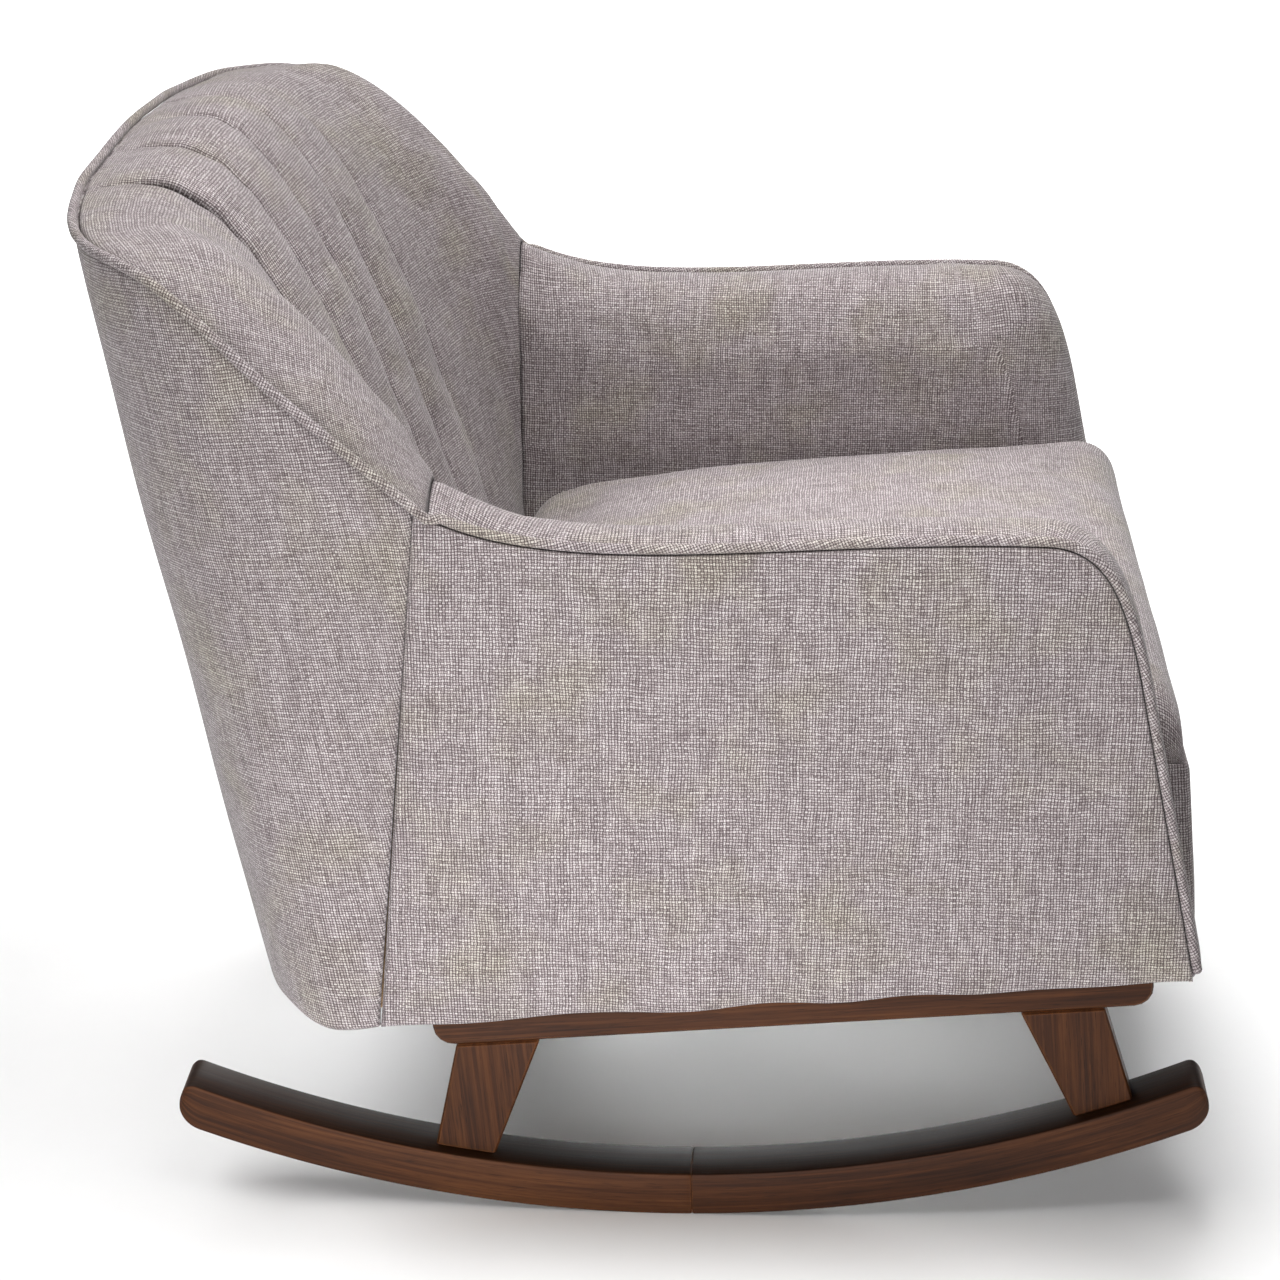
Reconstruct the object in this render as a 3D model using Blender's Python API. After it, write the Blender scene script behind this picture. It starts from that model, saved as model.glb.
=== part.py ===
"""Barrel-shaped upholstered rocking chair. It faces -Y, +Z is up, and "left" is the sitter's left (+X)."""

import bmesh
import bpy
import numpy as np
from math import cos, pi, radians, sin, sqrt

for leftover in list(bpy.data.objects):
    bpy.data.objects.remove(leftover, do_unlink=True)

# Driving dimensions, in metres
GAP = 0.0003                    # clearance between touching pieces
HALF_WIDTH = 0.3605             # outside arm panel to the middle plane
TILT = radians(5.2)             # lean of the seat box, front higher
ROCKER_RADIUS = 0.941           # underside of a rocker
ROCKER_THICK = 0.0324
ROCKER_OUT, ROCKER_IN = 0.2694, 0.2284
ROCKER_MIDDLE = radians(-1.65)  # direction of the joint, in front of the contact point
ROCKER_HALF_ANGLE = radians(22.75)
FACET = 0.0388                  # angle between a rocker's sections; one flat lies level on the floor
EDGE = 0.003                    # rounding of wooden edges
LEG_OUT, LEG_IN = 0.2610, 0.2290
RAIL_LOW, RAIL_HIGH = 0.1390, 0.2040    # base rails, heights above the tilted floor plane
RAIL_FRONT, RAIL_REAR = -0.3600, 0.1430
CROSS_RAILS = {"front": -0.3435, "rear": 0.1160}    # depths of the cross rails' middles
CROSS_LOW = 0.1560
CROSS_HALF_DEPTH = 0.0125
RAIL_CORNER = 0.014             # rounding of a side rail's lower corners
BOLT_X = 0.1500
BOX_BOTTOM = 0.2045             # lower edge of the upholstered body
FRAME_LOW, FRAME_HIGH = 0.2068, 0.3090
FOAM_LOW = 0.3265               # underside of the seat foam, just above the springs
FABRIC = 0.0022                 # cover with its lining
PANEL = 0.0035                  # outside panel: board and fabric
ARM_OUT = 0.3562                # outer edge of the arm cover
ARM_INNER = 0.2840              # inner face of the arm
PAD_BACK = 0.3290               # flat outer side of an arm pad
WELT_RADIUS = 0.0036
BOLT_RADIUS, DOWEL_RADIUS = 0.0040, 0.0050
BOLT_HEAD = 0.0075, 0.0040      # radius and thickness
DOWEL_DOWN, DOWEL_UP = 0.0180, 0.0240   # a leg's dowel, into the rocker and into the leg
JOINT_DOWEL_REACH = 0.0250      # from the middle of a rocker, each way
CLOTH_LOW, CLOTH_HIGH = 0.2048, 0.2058  # dust cloth
BOLT_INTO_FRAME = 0.0600        # how far a bolt reaches above the frame's underside
WIRE_RADIUS = 0.0019
CHANNEL = 0.087                 # spacing of the sewn seams in the back

SIDES = {"left": 1, "right": -1}


def material(name, colour, roughness, metallic=0.0):
    made = bpy.data.materials.new(name)
    made.use_nodes = True
    shader = made.node_tree.nodes["Principled BSDF"]
    shader.inputs["Base Color"].default_value = (*colour, 1)
    shader.inputs["Roughness"].default_value = roughness
    shader.inputs["Metallic"].default_value = metallic
    return made


WALNUT = material("walnut_stained_wood", (0.085, 0.042, 0.026), 0.42)
HARDWOOD = material("frame_hardwood", (0.55, 0.38, 0.22), 0.65)
FABRIC_COVER = material("woven_fabric", (0.38, 0.32, 0.33), 0.9)
FOAM = material("upholstery_foam", (0.85, 0.80, 0.62), 0.95)
STEEL = material("spring_steel", (0.35, 0.35, 0.36), 0.35, 1.0)
WEBBING = material("elastic_webbing", (0.16, 0.16, 0.17), 0.8)
DUST_CLOTH = material("dust_cloth", (0.03, 0.03, 0.032), 0.9)


def tilted(q, h):
    """(y, z) of a point q behind the origin and h above the tilted floor plane."""
    return q * cos(TILT) + h * sin(TILT), h * cos(TILT) - q * sin(TILT)


def tilted_height(y, h):
    """World height at depth y of the plane at height h above the tilted floor plane."""
    return (h - y * sin(TILT)) / cos(TILT)


def add(name, points, faces, slot, rounded=False):
    mesh = bpy.data.meshes.new(name)
    mesh.from_pydata([tuple(point) for point in points], [], faces)
    mesh.materials.append(slot)
    work = bmesh.new()
    work.from_mesh(mesh)
    bmesh.ops.recalc_face_normals(work, faces=work.faces)
    work.to_mesh(mesh)
    work.free()
    made = bpy.data.objects.new(name, mesh)
    bpy.context.scene.collection.objects.link(made)
    if rounded:
        mesh.shade_smooth()
        mesh.set_sharp_from_angle(angle=radians(40))
    return made


def rings(name, loops, slot, rounded=False):
    """A solid through closed loops with equal numbers of points, capped at both ends."""
    count = len(loops[0])
    points = [point for loop in loops for point in loop]
    faces = [tuple(range(count))[::-1], tuple(range(len(points) - count, len(points)))]
    for i in range(len(loops) - 1):
        for j in range(count):
            k = (j + 1) % count
            faces.append((i * count + j, i * count + k, (i + 1) * count + k, (i + 1) * count + j))
    return add(name, points, faces, slot, rounded)


def between(name, front, back, slot):
    """A solid between two grids of the same size, closed all round its rim."""
    rows, columns = front.shape[:2]
    size = rows * columns
    points = np.concatenate([front.reshape(-1, 3), back.reshape(-1, 3)])
    faces = []
    for i in range(rows - 1):
        for j in range(columns - 1):
            quad = (i * columns + j, i * columns + j + 1, (i + 1) * columns + j + 1, (i + 1) * columns + j)
            faces.append(quad)
            faces.append(tuple(size + corner for corner in quad[::-1]))
    rim = [j for j in range(columns)]
    rim += [(i + 1) * columns - 1 for i in range(1, rows)]
    rim += [(rows - 1) * columns + j for j in range(columns - 2, -1, -1)]
    rim += [i * columns for i in range(rows - 2, 0, -1)]
    for a, b in zip(rim, rim[1:] + rim[:1]):
        faces.append((a, size + a, size + b, b))
    return add(name, points, faces, slot, rounded=True)


def bevelled(made, width, segments=1):
    bevel = made.modifiers.new("edge", "BEVEL")
    bevel.width = width
    bevel.segments = segments
    bevel.limit_method = "ANGLE"
    bevel.angle_limit = radians(40)
    return made


def plate(name, outline, low, high, slot):
    """A flat piece: an outline of (y, z) points, from x = low to x = high."""
    return rings(name, [[(x, y, z) for y, z in outline] for x in (low, high)], slot)


def tilted_box(name, x_range, q_range, h_range, slot):
    (q0, q1), (h0, h1) = q_range, h_range
    corners = [tilted(q, h) for q, h in ((q0, h0), (q1, h0), (q1, h1), (q0, h1))]
    return plate(name, corners, min(x_range), max(x_range), slot)


def rod(start, end, radius, name, slot, sides=12):
    start, end = np.array(start, float), np.array(end, float)
    axis = (end - start) / np.linalg.norm(end - start)
    across = np.cross(axis, (0, 1, 0) if abs(axis[1]) < 0.9 else (1, 0, 0))
    across /= np.linalg.norm(across)
    other = np.cross(axis, across)
    turns = [2 * pi * k / sides for k in range(sides)]
    loops = [[at + radius * (cos(a) * across + sin(a) * other) for a in turns] for at in (start, end)]
    return rings(name, loops, slot, rounded=True)


def subtract(target, cutter):
    cutter.hide_render = True
    cutter.display_type = "WIRE"
    cut = target.modifiers.new("cut", "BOOLEAN")
    cut.operation = "DIFFERENCE"
    cut.solver = "EXACT"
    cut.object = cutter


def drill(target, start, end, radius):
    subtract(target, rod(start, end, radius + GAP, target.name + "_hole_" + str(len(target.modifiers)), STEEL))


def bezier(start, first, second, end, count):
    """count + 1 points of a cubic curve."""
    t = np.linspace(0, 1, count + 1)[:, None]
    start, first, second, end = (np.array(p, float) for p in (start, first, second, end))
    return (1 - t) ** 3 * start + 3 * t * (1 - t) ** 2 * first + 3 * t ** 2 * (1 - t) * second + t ** 3 * end


def smooth(keys, where):
    """A smooth curve through keys of (position, value, ...), read at the positions in where."""
    keys = np.array(keys, float)
    at, values = keys[:, 0], keys[:, 1:]
    slopes = np.gradient(values, at, axis=0)
    slopes[0, -2:] = 0
    found = []
    for x in where:
        i = min(max(int(np.searchsorted(at, x)) - 1, 0), len(at) - 2)
        width = at[i + 1] - at[i]
        t = (x - at[i]) / width
        a, b = values[i], values[i + 1]
        low, high = slopes[i] * width, slopes[i + 1] * width
        found.append(
            (2 * t ** 3 - 3 * t ** 2 + 1) * a + (t ** 3 - 2 * t ** 2 + t) * low
            + (3 * t ** 2 - 2 * t ** 3) * b + (t ** 3 - t ** 2) * high
        )
    return np.array(found)


# ---------------------------------------------------------------- base: rockers, legs, rails
def arc_point(radius, angle):
    return radius * sin(angle), ROCKER_RADIUS - radius * cos(angle)


def rocker_section(angle, shrink=0.0):
    """Eight-cornered section of a rocker, square across its arc."""
    edge = EDGE if shrink == 0 else EDGE * 2
    low, high = ROCKER_RADIUS - shrink, ROCKER_RADIUS - ROCKER_THICK + shrink
    inner, outer = ROCKER_IN + shrink, ROCKER_OUT - shrink
    corners = (
        (inner + edge, low), (outer - edge, low), (outer, low - edge), (outer, high + edge),
        (outer - edge, high), (inner + edge, high), (inner, high + edge), (inner, low - edge),
    )
    return [(x, *arc_point(radius, angle)) for x, radius in corners]


def rocker_half(side, end):
    """Half a rocker: end is 1 for the rear half and -1 for the front half."""
    joint = ROCKER_MIDDLE + end * GAP / 2 / ROCKER_RADIUS
    tip = ROCKER_MIDDLE + end * ROCKER_HALF_ANGLE
    neck = tip - end * 0.010
    low, high = min(joint, neck) + FACET / 5, max(joint, neck) - FACET / 5
    marks = [(k + 0.5) * FACET for k in range(-12, 12) if low < (k + 0.5) * FACET < high]
    loops = [rocker_section(angle) for angle in (joint, *marks[::end], neck)]
    for angle, shrink in ((tip - end * 0.0045, 0.0022), (tip, 0.0070)):
        loops.append(rocker_section(angle, shrink))
    sign = SIDES[side]
    loops = [[(sign * x, y, z) for x, y, z in loop] for loop in loops]
    name = "rocker_" + side + ("_rear" if end > 0 else "_front")
    return rings(name, loops, WALNUT, rounded=True)


LEGS = {
    # top edge on the rail's underside (rear, front) and bottom edge on the rocker (rear, front)
    "rear": ((0.1400, 0.0810), (0.1560, 0.1140)),
    "front": ((-0.2540, -0.3120), (-0.2950, -0.3350)),
}


def leg_outline(place):
    (top_rear, top_front), (foot_rear, foot_front) = LEGS[place]
    radius = ROCKER_RADIUS - ROCKER_THICK - GAP

    def foot(y):
        return y, ROCKER_RADIUS - sqrt(radius ** 2 - y ** 2)

    def top(y):
        return y, tilted_height(y, RAIL_LOW - GAP)

    foot_middle = (foot_rear + foot_front) / 2
    return [top(top_front), top(top_rear), foot(foot_rear), foot(foot_middle), foot(foot_front)]


def base_rail_outline():
    """Side rail: its two lower corners are rounded off."""
    length, height, corner = RAIL_REAR - RAIL_FRONT, RAIL_HIGH - RAIL_LOW, RAIL_CORNER
    points = [(0, height), (length, height)]
    turns = [pi / 2 * i / 4 for i in range(5)]
    points += [(length - corner + corner * cos(a), corner - corner * sin(a)) for a in turns]
    points += [(corner - corner * sin(a), corner - corner * cos(a)) for a in turns]
    return [tilted(RAIL_FRONT + q, RAIL_LOW + h) for q, h in points]


rockers, legs = {}, {}
for side, sign in SIDES.items():
    low, high = sorted((sign * LEG_IN, sign * LEG_OUT))
    for place, end in (("rear", 1), ("front", -1)):
        rockers[side, place] = rocker_half(side, end)
        leg = plate("leg_" + place + "_" + side, leg_outline(place), low, high, WALNUT)
        legs[side, place] = bevelled(leg, EDGE / 2)
    bevelled(plate("base_side_rail_" + side, base_rail_outline(), low, high, WALNUT), EDGE / 2)

cross_rails = {}
for name, q in CROSS_RAILS.items():
    width, depth = LEG_IN - GAP, (q - CROSS_HALF_DEPTH, q + CROSS_HALF_DEPTH)
    cross = tilted_box("base_cross_rail_" + name, (-width, width), depth, (CROSS_LOW, RAIL_HIGH), WALNUT)
    cross_rails[name] = bevelled(cross, EDGE / 2)

# ---------------------------------------------------------------- inner frame
FRONT_RAIL = (-0.3620, -0.3300)     # depth ranges along the tilted box
REAR_RAIL = (0.1030, 0.1290)
BACK_RAIL = (0.1850, 0.2070)
SEAT_HALF = 0.2835                  # free width between the arms
SIDE_RAIL = (0.2885, 0.3315)
ARM_FRAME = (0.3320, 0.3480)
POST = (0.2680, 0.2880)

seat_width, frame_range = (-SEAT_HALF, SEAT_HALF), (FRAME_LOW, FRAME_HIGH)
seat_rails = {
    "front": tilted_box("seat_front_rail", seat_width, FRONT_RAIL, frame_range, HARDWOOD),
    "rear": tilted_box("seat_rear_rail", seat_width, REAR_RAIL, frame_range, HARDWOOD),
}
BACK_HALF = POST[0] - GAP

# Side view of a back post, and of the top rail between the posts
POST_FOOT, POST_HEAD = (0.1850, 0.2150), (0.3220, 0.3420)
HEAD_HEIGHT = 0.6650
TOP_RAIL = 0.0500
BOTTOM_RAIL = 0.0600


def post_edge(which, height):
    """(y, z) on the front (0) or rear (1) edge of a post at this world height."""
    foot, head = POST_FOOT[which], POST_HEAD[which]
    low = tilted_height(foot, FRAME_LOW)
    return foot + (head - foot) * (height - low) / (HEAD_HEIGHT - low), height


low, high = FRAME_LOW, FRAME_LOW + BOTTOM_RAIL
tilted_box("back_bottom_rail", (-BACK_HALF, BACK_HALF), BACK_RAIL, (low, high), HARDWOOD)


def between_edges(low, high):
    return [post_edge(0, low), post_edge(0, high), post_edge(1, high), post_edge(1, low)]


def side_frame_outline():
    """Plywood side panel of the arm, its upper front corner cut off."""
    front, rear, low, high, corner = -0.3240, 0.0900, FRAME_LOW, 0.4950, 0.0200
    outline = [(front, low), (front, high - corner), (front + corner, high), (rear, high), (rear, low)]
    return [tilted(q, h) for q, h in outline]


for side, sign in SIDES.items():
    width = [sign * x for x in SIDE_RAIL]
    tilted_box("seat_side_rail_" + side, width, (-0.3290, 0.1850), (FRAME_LOW, FRAME_HIGH), HARDWOOD)
    plate("arm_frame_" + side, side_frame_outline(), *sorted(sign * x for x in ARM_FRAME), HARDWOOD)
    feet = [(foot, tilted_height(foot, FRAME_LOW)) for foot in POST_FOOT]
    post = [feet[0], post_edge(0, HEAD_HEIGHT), post_edge(1, HEAD_HEIGHT), feet[1]]
    plate("back_post_" + side, post, *sorted(sign * x for x in POST), HARDWOOD)
plate("back_top_rail", between_edges(HEAD_HEIGHT - TOP_RAIL, HEAD_HEIGHT), -BACK_HALF, BACK_HALF, HARDWOOD)
STRAP_WIDTH, STRAP_THICK = 0.0500, 0.0020
for name, low in (("lower", 0.3800), ("upper", 0.4800)):
    (front, foot), (lean, head) = post_edge(0, low), post_edge(0, low + STRAP_WIDTH)
    strap = [(front, foot), (lean, head), (lean + STRAP_THICK, head), (front + STRAP_THICK, foot)]
    plate("back_webbing_" + name, strap, -BACK_HALF, BACK_HALF, WEBBING)

# ---------------------------------------------------------------- arms
COVER_SEAM = (0.1380, 0.5480), 0.1380       # rear edge of the arm cover: its top and the depth of its foot
PANEL_SEAM = (0.1480, 0.5560), 0.1790       # seam between the two outside panels
FRONT_FOOT = -0.3580
FRONT_CORNER = (-0.3120, 0.4500), (-0.2520, 0.5370)


def arm_outline(seam, bottom=BOX_BOTTOM):
    """Side view of an arm from its front foot over the top to a rear seam, and the free edge's point count."""
    low, high = FRONT_CORNER
    foot_z = tilted_height(FRONT_FOOT, BOX_BOTTOM)
    rise = (low[1] - foot_z) / (low[0] - FRONT_FOOT)
    start_y = FRONT_FOOT + (tilted_height(FRONT_FOOT, bottom) - foot_z) / (rise + sin(TILT) / cos(TILT))
    start = (start_y, tilted_height(start_y, bottom))
    corner = bezier(low, (-0.2990, 0.5060), (-0.2850, 0.5350), high, 6)
    top = bezier(high, (-0.1000, 0.5400), (0.0400, 0.5180), COVER_SEAM[0], 8)
    edge = [start, *corner, *top[1:]]
    if seam[0] != COVER_SEAM[0]:
        edge.append(seam[0])
    foot = (seam[1], tilted_height(seam[1], bottom))
    return np.array([*edge, foot]), len(edge)


def drawn_in(outline, free, inset, all_round=0.0):
    """The outline moved inwards by inset along its top and front, and by all_round everywhere."""
    along = np.roll(outline, -1, 0) - outline
    along /= np.linalg.norm(along, axis=1)[:, None]
    inward = np.stack([along[:, 1], -along[:, 0]], axis=1)
    amounts = np.full(len(outline), all_round)
    amounts[:free - 1] += inset
    moves = []
    for i in range(len(outline)):
        lines = inward[[i - 1, i]]
        if abs(np.linalg.det(lines)) < 1e-3:
            moves.append(inward[i] * amounts[i])
        else:
            moves.append(np.linalg.solve(lines, amounts[[i - 1, i]]))
    return outline + np.array(moves)


ARM_PROFILE = (
    # distance in from the outer edge, inset of the outline there
    (0.0000, 0.0000), (0.0070, -0.0045), (0.0220, -0.0085), (0.0380, -0.0070),
    (0.0530, 0.0005), (0.0640, 0.0120), (0.0700, 0.0260), (ARM_OUT - ARM_INNER, 0.0440),
)


def arm_loops(sign, profile, all_round=0.0, bottom=BOX_BOTTOM):
    outline, free = arm_outline(COVER_SEAM, bottom)
    return [
        [(sign * (ARM_OUT - depth), y, z) for y, z in drawn_in(outline, free, inset, all_round)]
        for depth, inset in profile
    ]


def ease(profile, amount):
    """The part of a profile that lies inside a skin of this thickness."""
    last_depth, last_inset = profile[-1]
    return [(depth, inset) for depth, inset in profile[:-1] if depth < last_depth - amount * 1.5] + [
        (last_depth - amount, last_inset + 0.002)
    ]


for side, sign in SIDES.items():
    outer = arm_loops(sign, ARM_PROFILE)
    inner = arm_loops(sign, ease(ARM_PROFILE, FABRIC), FABRIC)
    # A dished skin: the inner loops follow the outer ones back inside.
    cover = rings("arm_cover_" + side, outer[::-1] + inner, FABRIC_COVER, rounded=True)
    slit = tilted_box(
        "slit_" + side, (sign * (SIDE_RAIL[0] - GAP), sign * (SIDE_RAIL[1] + GAP)), (0.0500, 0.2200),
        (FRAME_LOW - GAP, FRAME_HIGH + GAP), FABRIC_COVER,
    )
    subtract(cover, slit)
    pad_profile = [(ARM_OUT - PAD_BACK, -0.0070)]
    pad_profile += [(depth, inset) for depth, inset in ease(ARM_PROFILE, FABRIC + GAP) if depth > 0.035]
    pad = arm_loops(sign, pad_profile, FABRIC + GAP, FRAME_HIGH - FABRIC)
    rings("arm_pad_" + side, pad, FOAM, rounded=True)
    (seam_y, seam_z), seam_foot = PANEL_SEAM
    outline, free = arm_outline(((seam_y - 0.0008, seam_z), seam_foot - 0.0008))
    panel = drawn_in(outline, free, 0.0010)
    panel_range = sorted((sign * (HALF_WIDTH - PANEL), sign * HALF_WIDTH))
    bevelled(plate("outside_arm_panel_" + side, panel, *panel_range, FABRIC_COVER), 0.0012)

# ---------------------------------------------------------------- back
# Lines that shape the back, from the middle plane (0) round the wing to the arm seam (6): (station, x, y, z)
WELT_LINE = (
    (0, 0.0000, 0.388, 0.7240), (1, 0.0870, 0.388, 0.7210), (2, 0.1740, 0.387, 0.7150),
    (3, 0.2850, 0.363, 0.7090), (4, 0.3450, 0.305, 0.6950), (5, 0.3562, 0.235, 0.6330),
    (6, 0.3562, 0.139, 0.5495),
)
CREST_LINE = (
    (0, 0.0000, 0.345, 0.7290), (1, 0.0870, 0.345, 0.7260), (2, 0.1740, 0.343, 0.7200),
    (3, 0.2550, 0.325, 0.7140), (4, 0.3120, 0.283, 0.7050), (5, 0.3300, 0.215, 0.6480),
    (6, 0.3320, 0.139, 0.5610),
)
ROLL_LINE = (
    (0, 0.0000, 0.286, 0.7270), (1, 0.0870, 0.285, 0.7240), (2, 0.1740, 0.280, 0.7180),
    (3, 0.2350, 0.262, 0.7080), (4, 0.2720, 0.225, 0.6900), (5, 0.2880, 0.180, 0.6420),
    (6, 0.2920, 0.139, 0.5780),
)
WAIST_LINE = (
    (0, 0.0000, 0.209, 0.5190), (1, 0.0870, 0.208, 0.5180), (2, 0.1740, 0.203, 0.5150),
    (3, 0.2250, 0.192, 0.5050), (4, 0.2560, 0.176, 0.4930), (5, 0.2750, 0.156, 0.4800),
    (6, 0.2840, 0.139, 0.4650),
)
FOOT_LINE = (
    (0, 0.0000, 0.150, 0.3300), (1, 0.0870, 0.149, 0.3300), (2, 0.1740, 0.146, 0.3300),
    (3, 0.2200, 0.143, 0.3300), (4, 0.2500, 0.141, 0.3300), (5, 0.2700, 0.139, 0.3300),
    (6, 0.2830, 0.139, 0.3300),
)
PANEL_FOOT = (
    (0, 0.0000, 0.2780), (1, 0.0900, 0.2780), (2, 0.1800, 0.2760), (3, 0.2600, 0.2640),
    (4, 0.3160, 0.2420), (5, 0.3500, 0.2120), (6, 0.3570, 0.1795),
)
PUFF = 0.0105       # how far a channel stands out of its seams
WING_PUFF = 0.0060


def mirrored(keys, stations):
    """Points of a line given for one side, on both sides of the middle plane."""
    found = smooth(keys, [abs(s) for s in stations])
    found[:, 0] *= np.where(np.array(stations) < 0, -1, 1)
    return found


def back_grid(stations, puffs):
    """Rows over the back's padded face, from its foot up the front, over the crest to the welt line."""
    foot, waist, roll, crest, welt = (
        mirrored(keys, stations) for keys in (FOOT_LINE, WAIST_LINE, ROLL_LINE, CREST_LINE, WELT_LINE)
    )
    rows = [foot + (waist - foot) * t for t in (0, 1 / 3, 2 / 3)]
    rows += [(1 - t) ** 2 * waist + 2 * t * (1 - t) * roll + t ** 2 * crest for t in np.linspace(0, 1, 7)]
    edge = crest + (welt - crest) * 0.80
    edge[:, 2] += 0.0010
    rows += [edge, welt]
    grid = np.array(rows)
    fade = np.array([0.9, 1, 1, 1, 1, 1, 0.95, 0.8, 0.6, 0.35, 0.10, 0])
    return grid + normals(grid) * (fade[:, None] * np.array(puffs))[:, :, None]


def normals(grid):
    """Unit normals of a grid, pointing to the sitter's side."""
    along = np.gradient(grid, axis=1)
    up = np.gradient(grid, axis=0)
    found = np.cross(along, up)
    return found / np.linalg.norm(found, axis=2)[:, :, None]


def channel_stations(count=3):
    """Stations across one channel and its share of the puff, seams left out."""
    t = [(k + 0.5) / count for k in range(count)]
    return t, [sin(pi * value) ** 0.6 for value in t]


stations, puffs = [], []
for channel in (-2, -1, 0, 1):
    t, share = channel_stations()
    stations += [channel, *(channel + value for value in t)]
    puffs += [0.0, *(PUFF * value for value in share)]
stations.append(2)
puffs.append(0.0)
wing = [2.35, 2.75, 3.2, 3.7, 4.2, 4.7, 5.2, 5.6]
wing_puff = [WING_PUFF * sin(pi * (value - 2) / 4) ** 0.5 for value in wing]
stations = [-6.0] + [-value for value in wing[::-1]] + stations + wing + [6.0]
puffs = [0.0] + wing_puff[::-1] + puffs + wing_puff + [0.0]

face = back_grid(stations, puffs)
out = normals(face)
between("inside_back_cover", face, face - out * FABRIC, FABRIC_COVER)


def back_pad(name, low, high, depth):
    """A pad under the cover between two stations, this thick."""
    inside = [value for value in stations if low + 0.05 < value < high - 0.05]
    places = [low + 0.03, *inside, high - 0.03]
    base = back_grid(places, [0.0] * len(places))[:-2]
    rise = np.interp(places, stations, puffs)
    front = back_grid(places, rise)[:-2]
    lean = normals(base)
    thick = np.interp(np.arange(len(base)), (0, 4, len(base) - 1), (1, 1, 0.3))[:, None, None] * depth
    between(name, front - lean * (FABRIC + 0.0018), base - lean * thick, FOAM)


for number, low in enumerate((-2, -1, 0, 1), 1):
    back_pad("back_channel_pad_" + str(number), low, low + 1, 0.052)
back_pad("wing_pad_left", 2, 5.9, 0.030)
back_pad("wing_pad_right", -5.9, -2, 0.030)

# The outside back panel runs round both rear corners, from seam to seam.
turns = [-6, -5.5, -5, -4.5, -4, -3.5, -3, -2.5, -2, -1, 0, 1, 2, 2.5, 3, 3.5, 4, 4.5, 5, 5.5, 6]
PANEL_TOP = (*WELT_LINE[:-1], (6, 0.3562, *PANEL_SEAM[0]))


def outside_back(offset):
    """Rows from the panel's top to its foot, this far outside the welt line."""
    top = mirrored(PANEL_TOP, turns)
    foot = mirrored([(*key, 0.0) for key in PANEL_FOOT], turns)
    foot[:, 2] = [tilted_height(y, BOX_BOTTOM) for y in foot[:, 1]]
    rows = np.array([top + (foot - top) * t for t in np.linspace(0.008, 1, 6)])
    along = np.gradient(rows, axis=1)
    away = np.stack([along[:, :, 1], -along[:, :, 0], along[:, :, 0] * 0], axis=2)
    away /= -np.linalg.norm(away, axis=2)[:, :, None]
    return rows + away * offset


outer = HALF_WIDTH - ARM_OUT
between("outside_back_panel", outside_back(outer), outside_back(outer - PANEL + 0.0005), FABRIC_COVER)

# ---------------------------------------------------------------- welt cord
def tube(name, path, radius, slot, sides=6):
    """A round cord along a path of points, closed at both ends."""
    path = np.array(path, float)
    ways = np.gradient(path, axis=0)
    ways /= np.linalg.norm(ways, axis=1)[:, None]
    across = np.cross(ways[0], (1, 0, 0) if abs(ways[0][0]) < 0.9 else (0, 0, 1))
    loops = []
    for at, way in zip(path, ways):
        across = across - way * np.dot(across, way)
        across /= np.linalg.norm(across)
        other = np.cross(way, across)
        turned = [2 * pi * k / sides for k in range(sides)]
        loops.append([at + radius * (cos(a) * across + sin(a) * other) for a in turned])
    return rings(name, loops, slot, rounded=True)


RAISE = WELT_RADIUS + 0.0014
edge, free = arm_outline(COVER_SEAM)
edge = drawn_in(edge, free, -RAISE)[:free - 1]
places = [*np.linspace(-6, -2, 13), -1, 0, 1, *np.linspace(2, 6, 13)]
over = back_grid(places, [0.0] * len(places))
over = (over + normals(over) * RAISE)[-1]
over[:, 1] += 0.0012
cord_x = 0.3572
cord = [(-cord_x, y, z) for y, z in edge] + [tuple(point) for point in over]
cord += [(cord_x, y, z) for y, z in edge[::-1]]
tube("welt_cord", cord, WELT_RADIUS, FABRIC_COVER)

# ---------------------------------------------------------------- seat
SEAT_FRONT, SEAT_REAR = -0.3840, 0.0990
SEAT_EDGE, SEAT_TOP = 0.3290, 0.3850
CROWN = 0.0170
ROUND = 0.0300


def run(half, count):
    """(position, drop) pairs across the seat: level in the middle, rounded over, then straight down."""
    level = [(half - ROUND) * k / count for k in range(count)]
    side = [(x, 0.0) for x in level]
    side += [(half - ROUND + ROUND * sin(a), ROUND * (1 - cos(a))) for a in (0, pi / 6, pi / 3, pi / 2)]
    side.append((half, 1.0))
    return [(-x, drop) for x, drop in side[:0:-1]] + side


def seat_grid(shrink, bottom):
    across, along = run(SEAT_HALF - 0.0003 - shrink, 5), run((SEAT_REAR - SEAT_FRONT) / 2 - shrink, 4)
    middle = (SEAT_REAR + SEAT_FRONT) / 2
    grid = []
    for q, q_drop in along:
        row = []
        for x, x_drop in across:
            dome = (1 - (x / SEAT_HALF) ** 2) * (1 - (2 * q / (SEAT_REAR - SEAT_FRONT)) ** 2)
            h = SEAT_TOP - shrink + CROWN * dome - x_drop - q_drop
            row.append((x, *tilted(middle + q, max(h, bottom))))
        grid.append(row)
    return np.array(grid)


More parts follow.
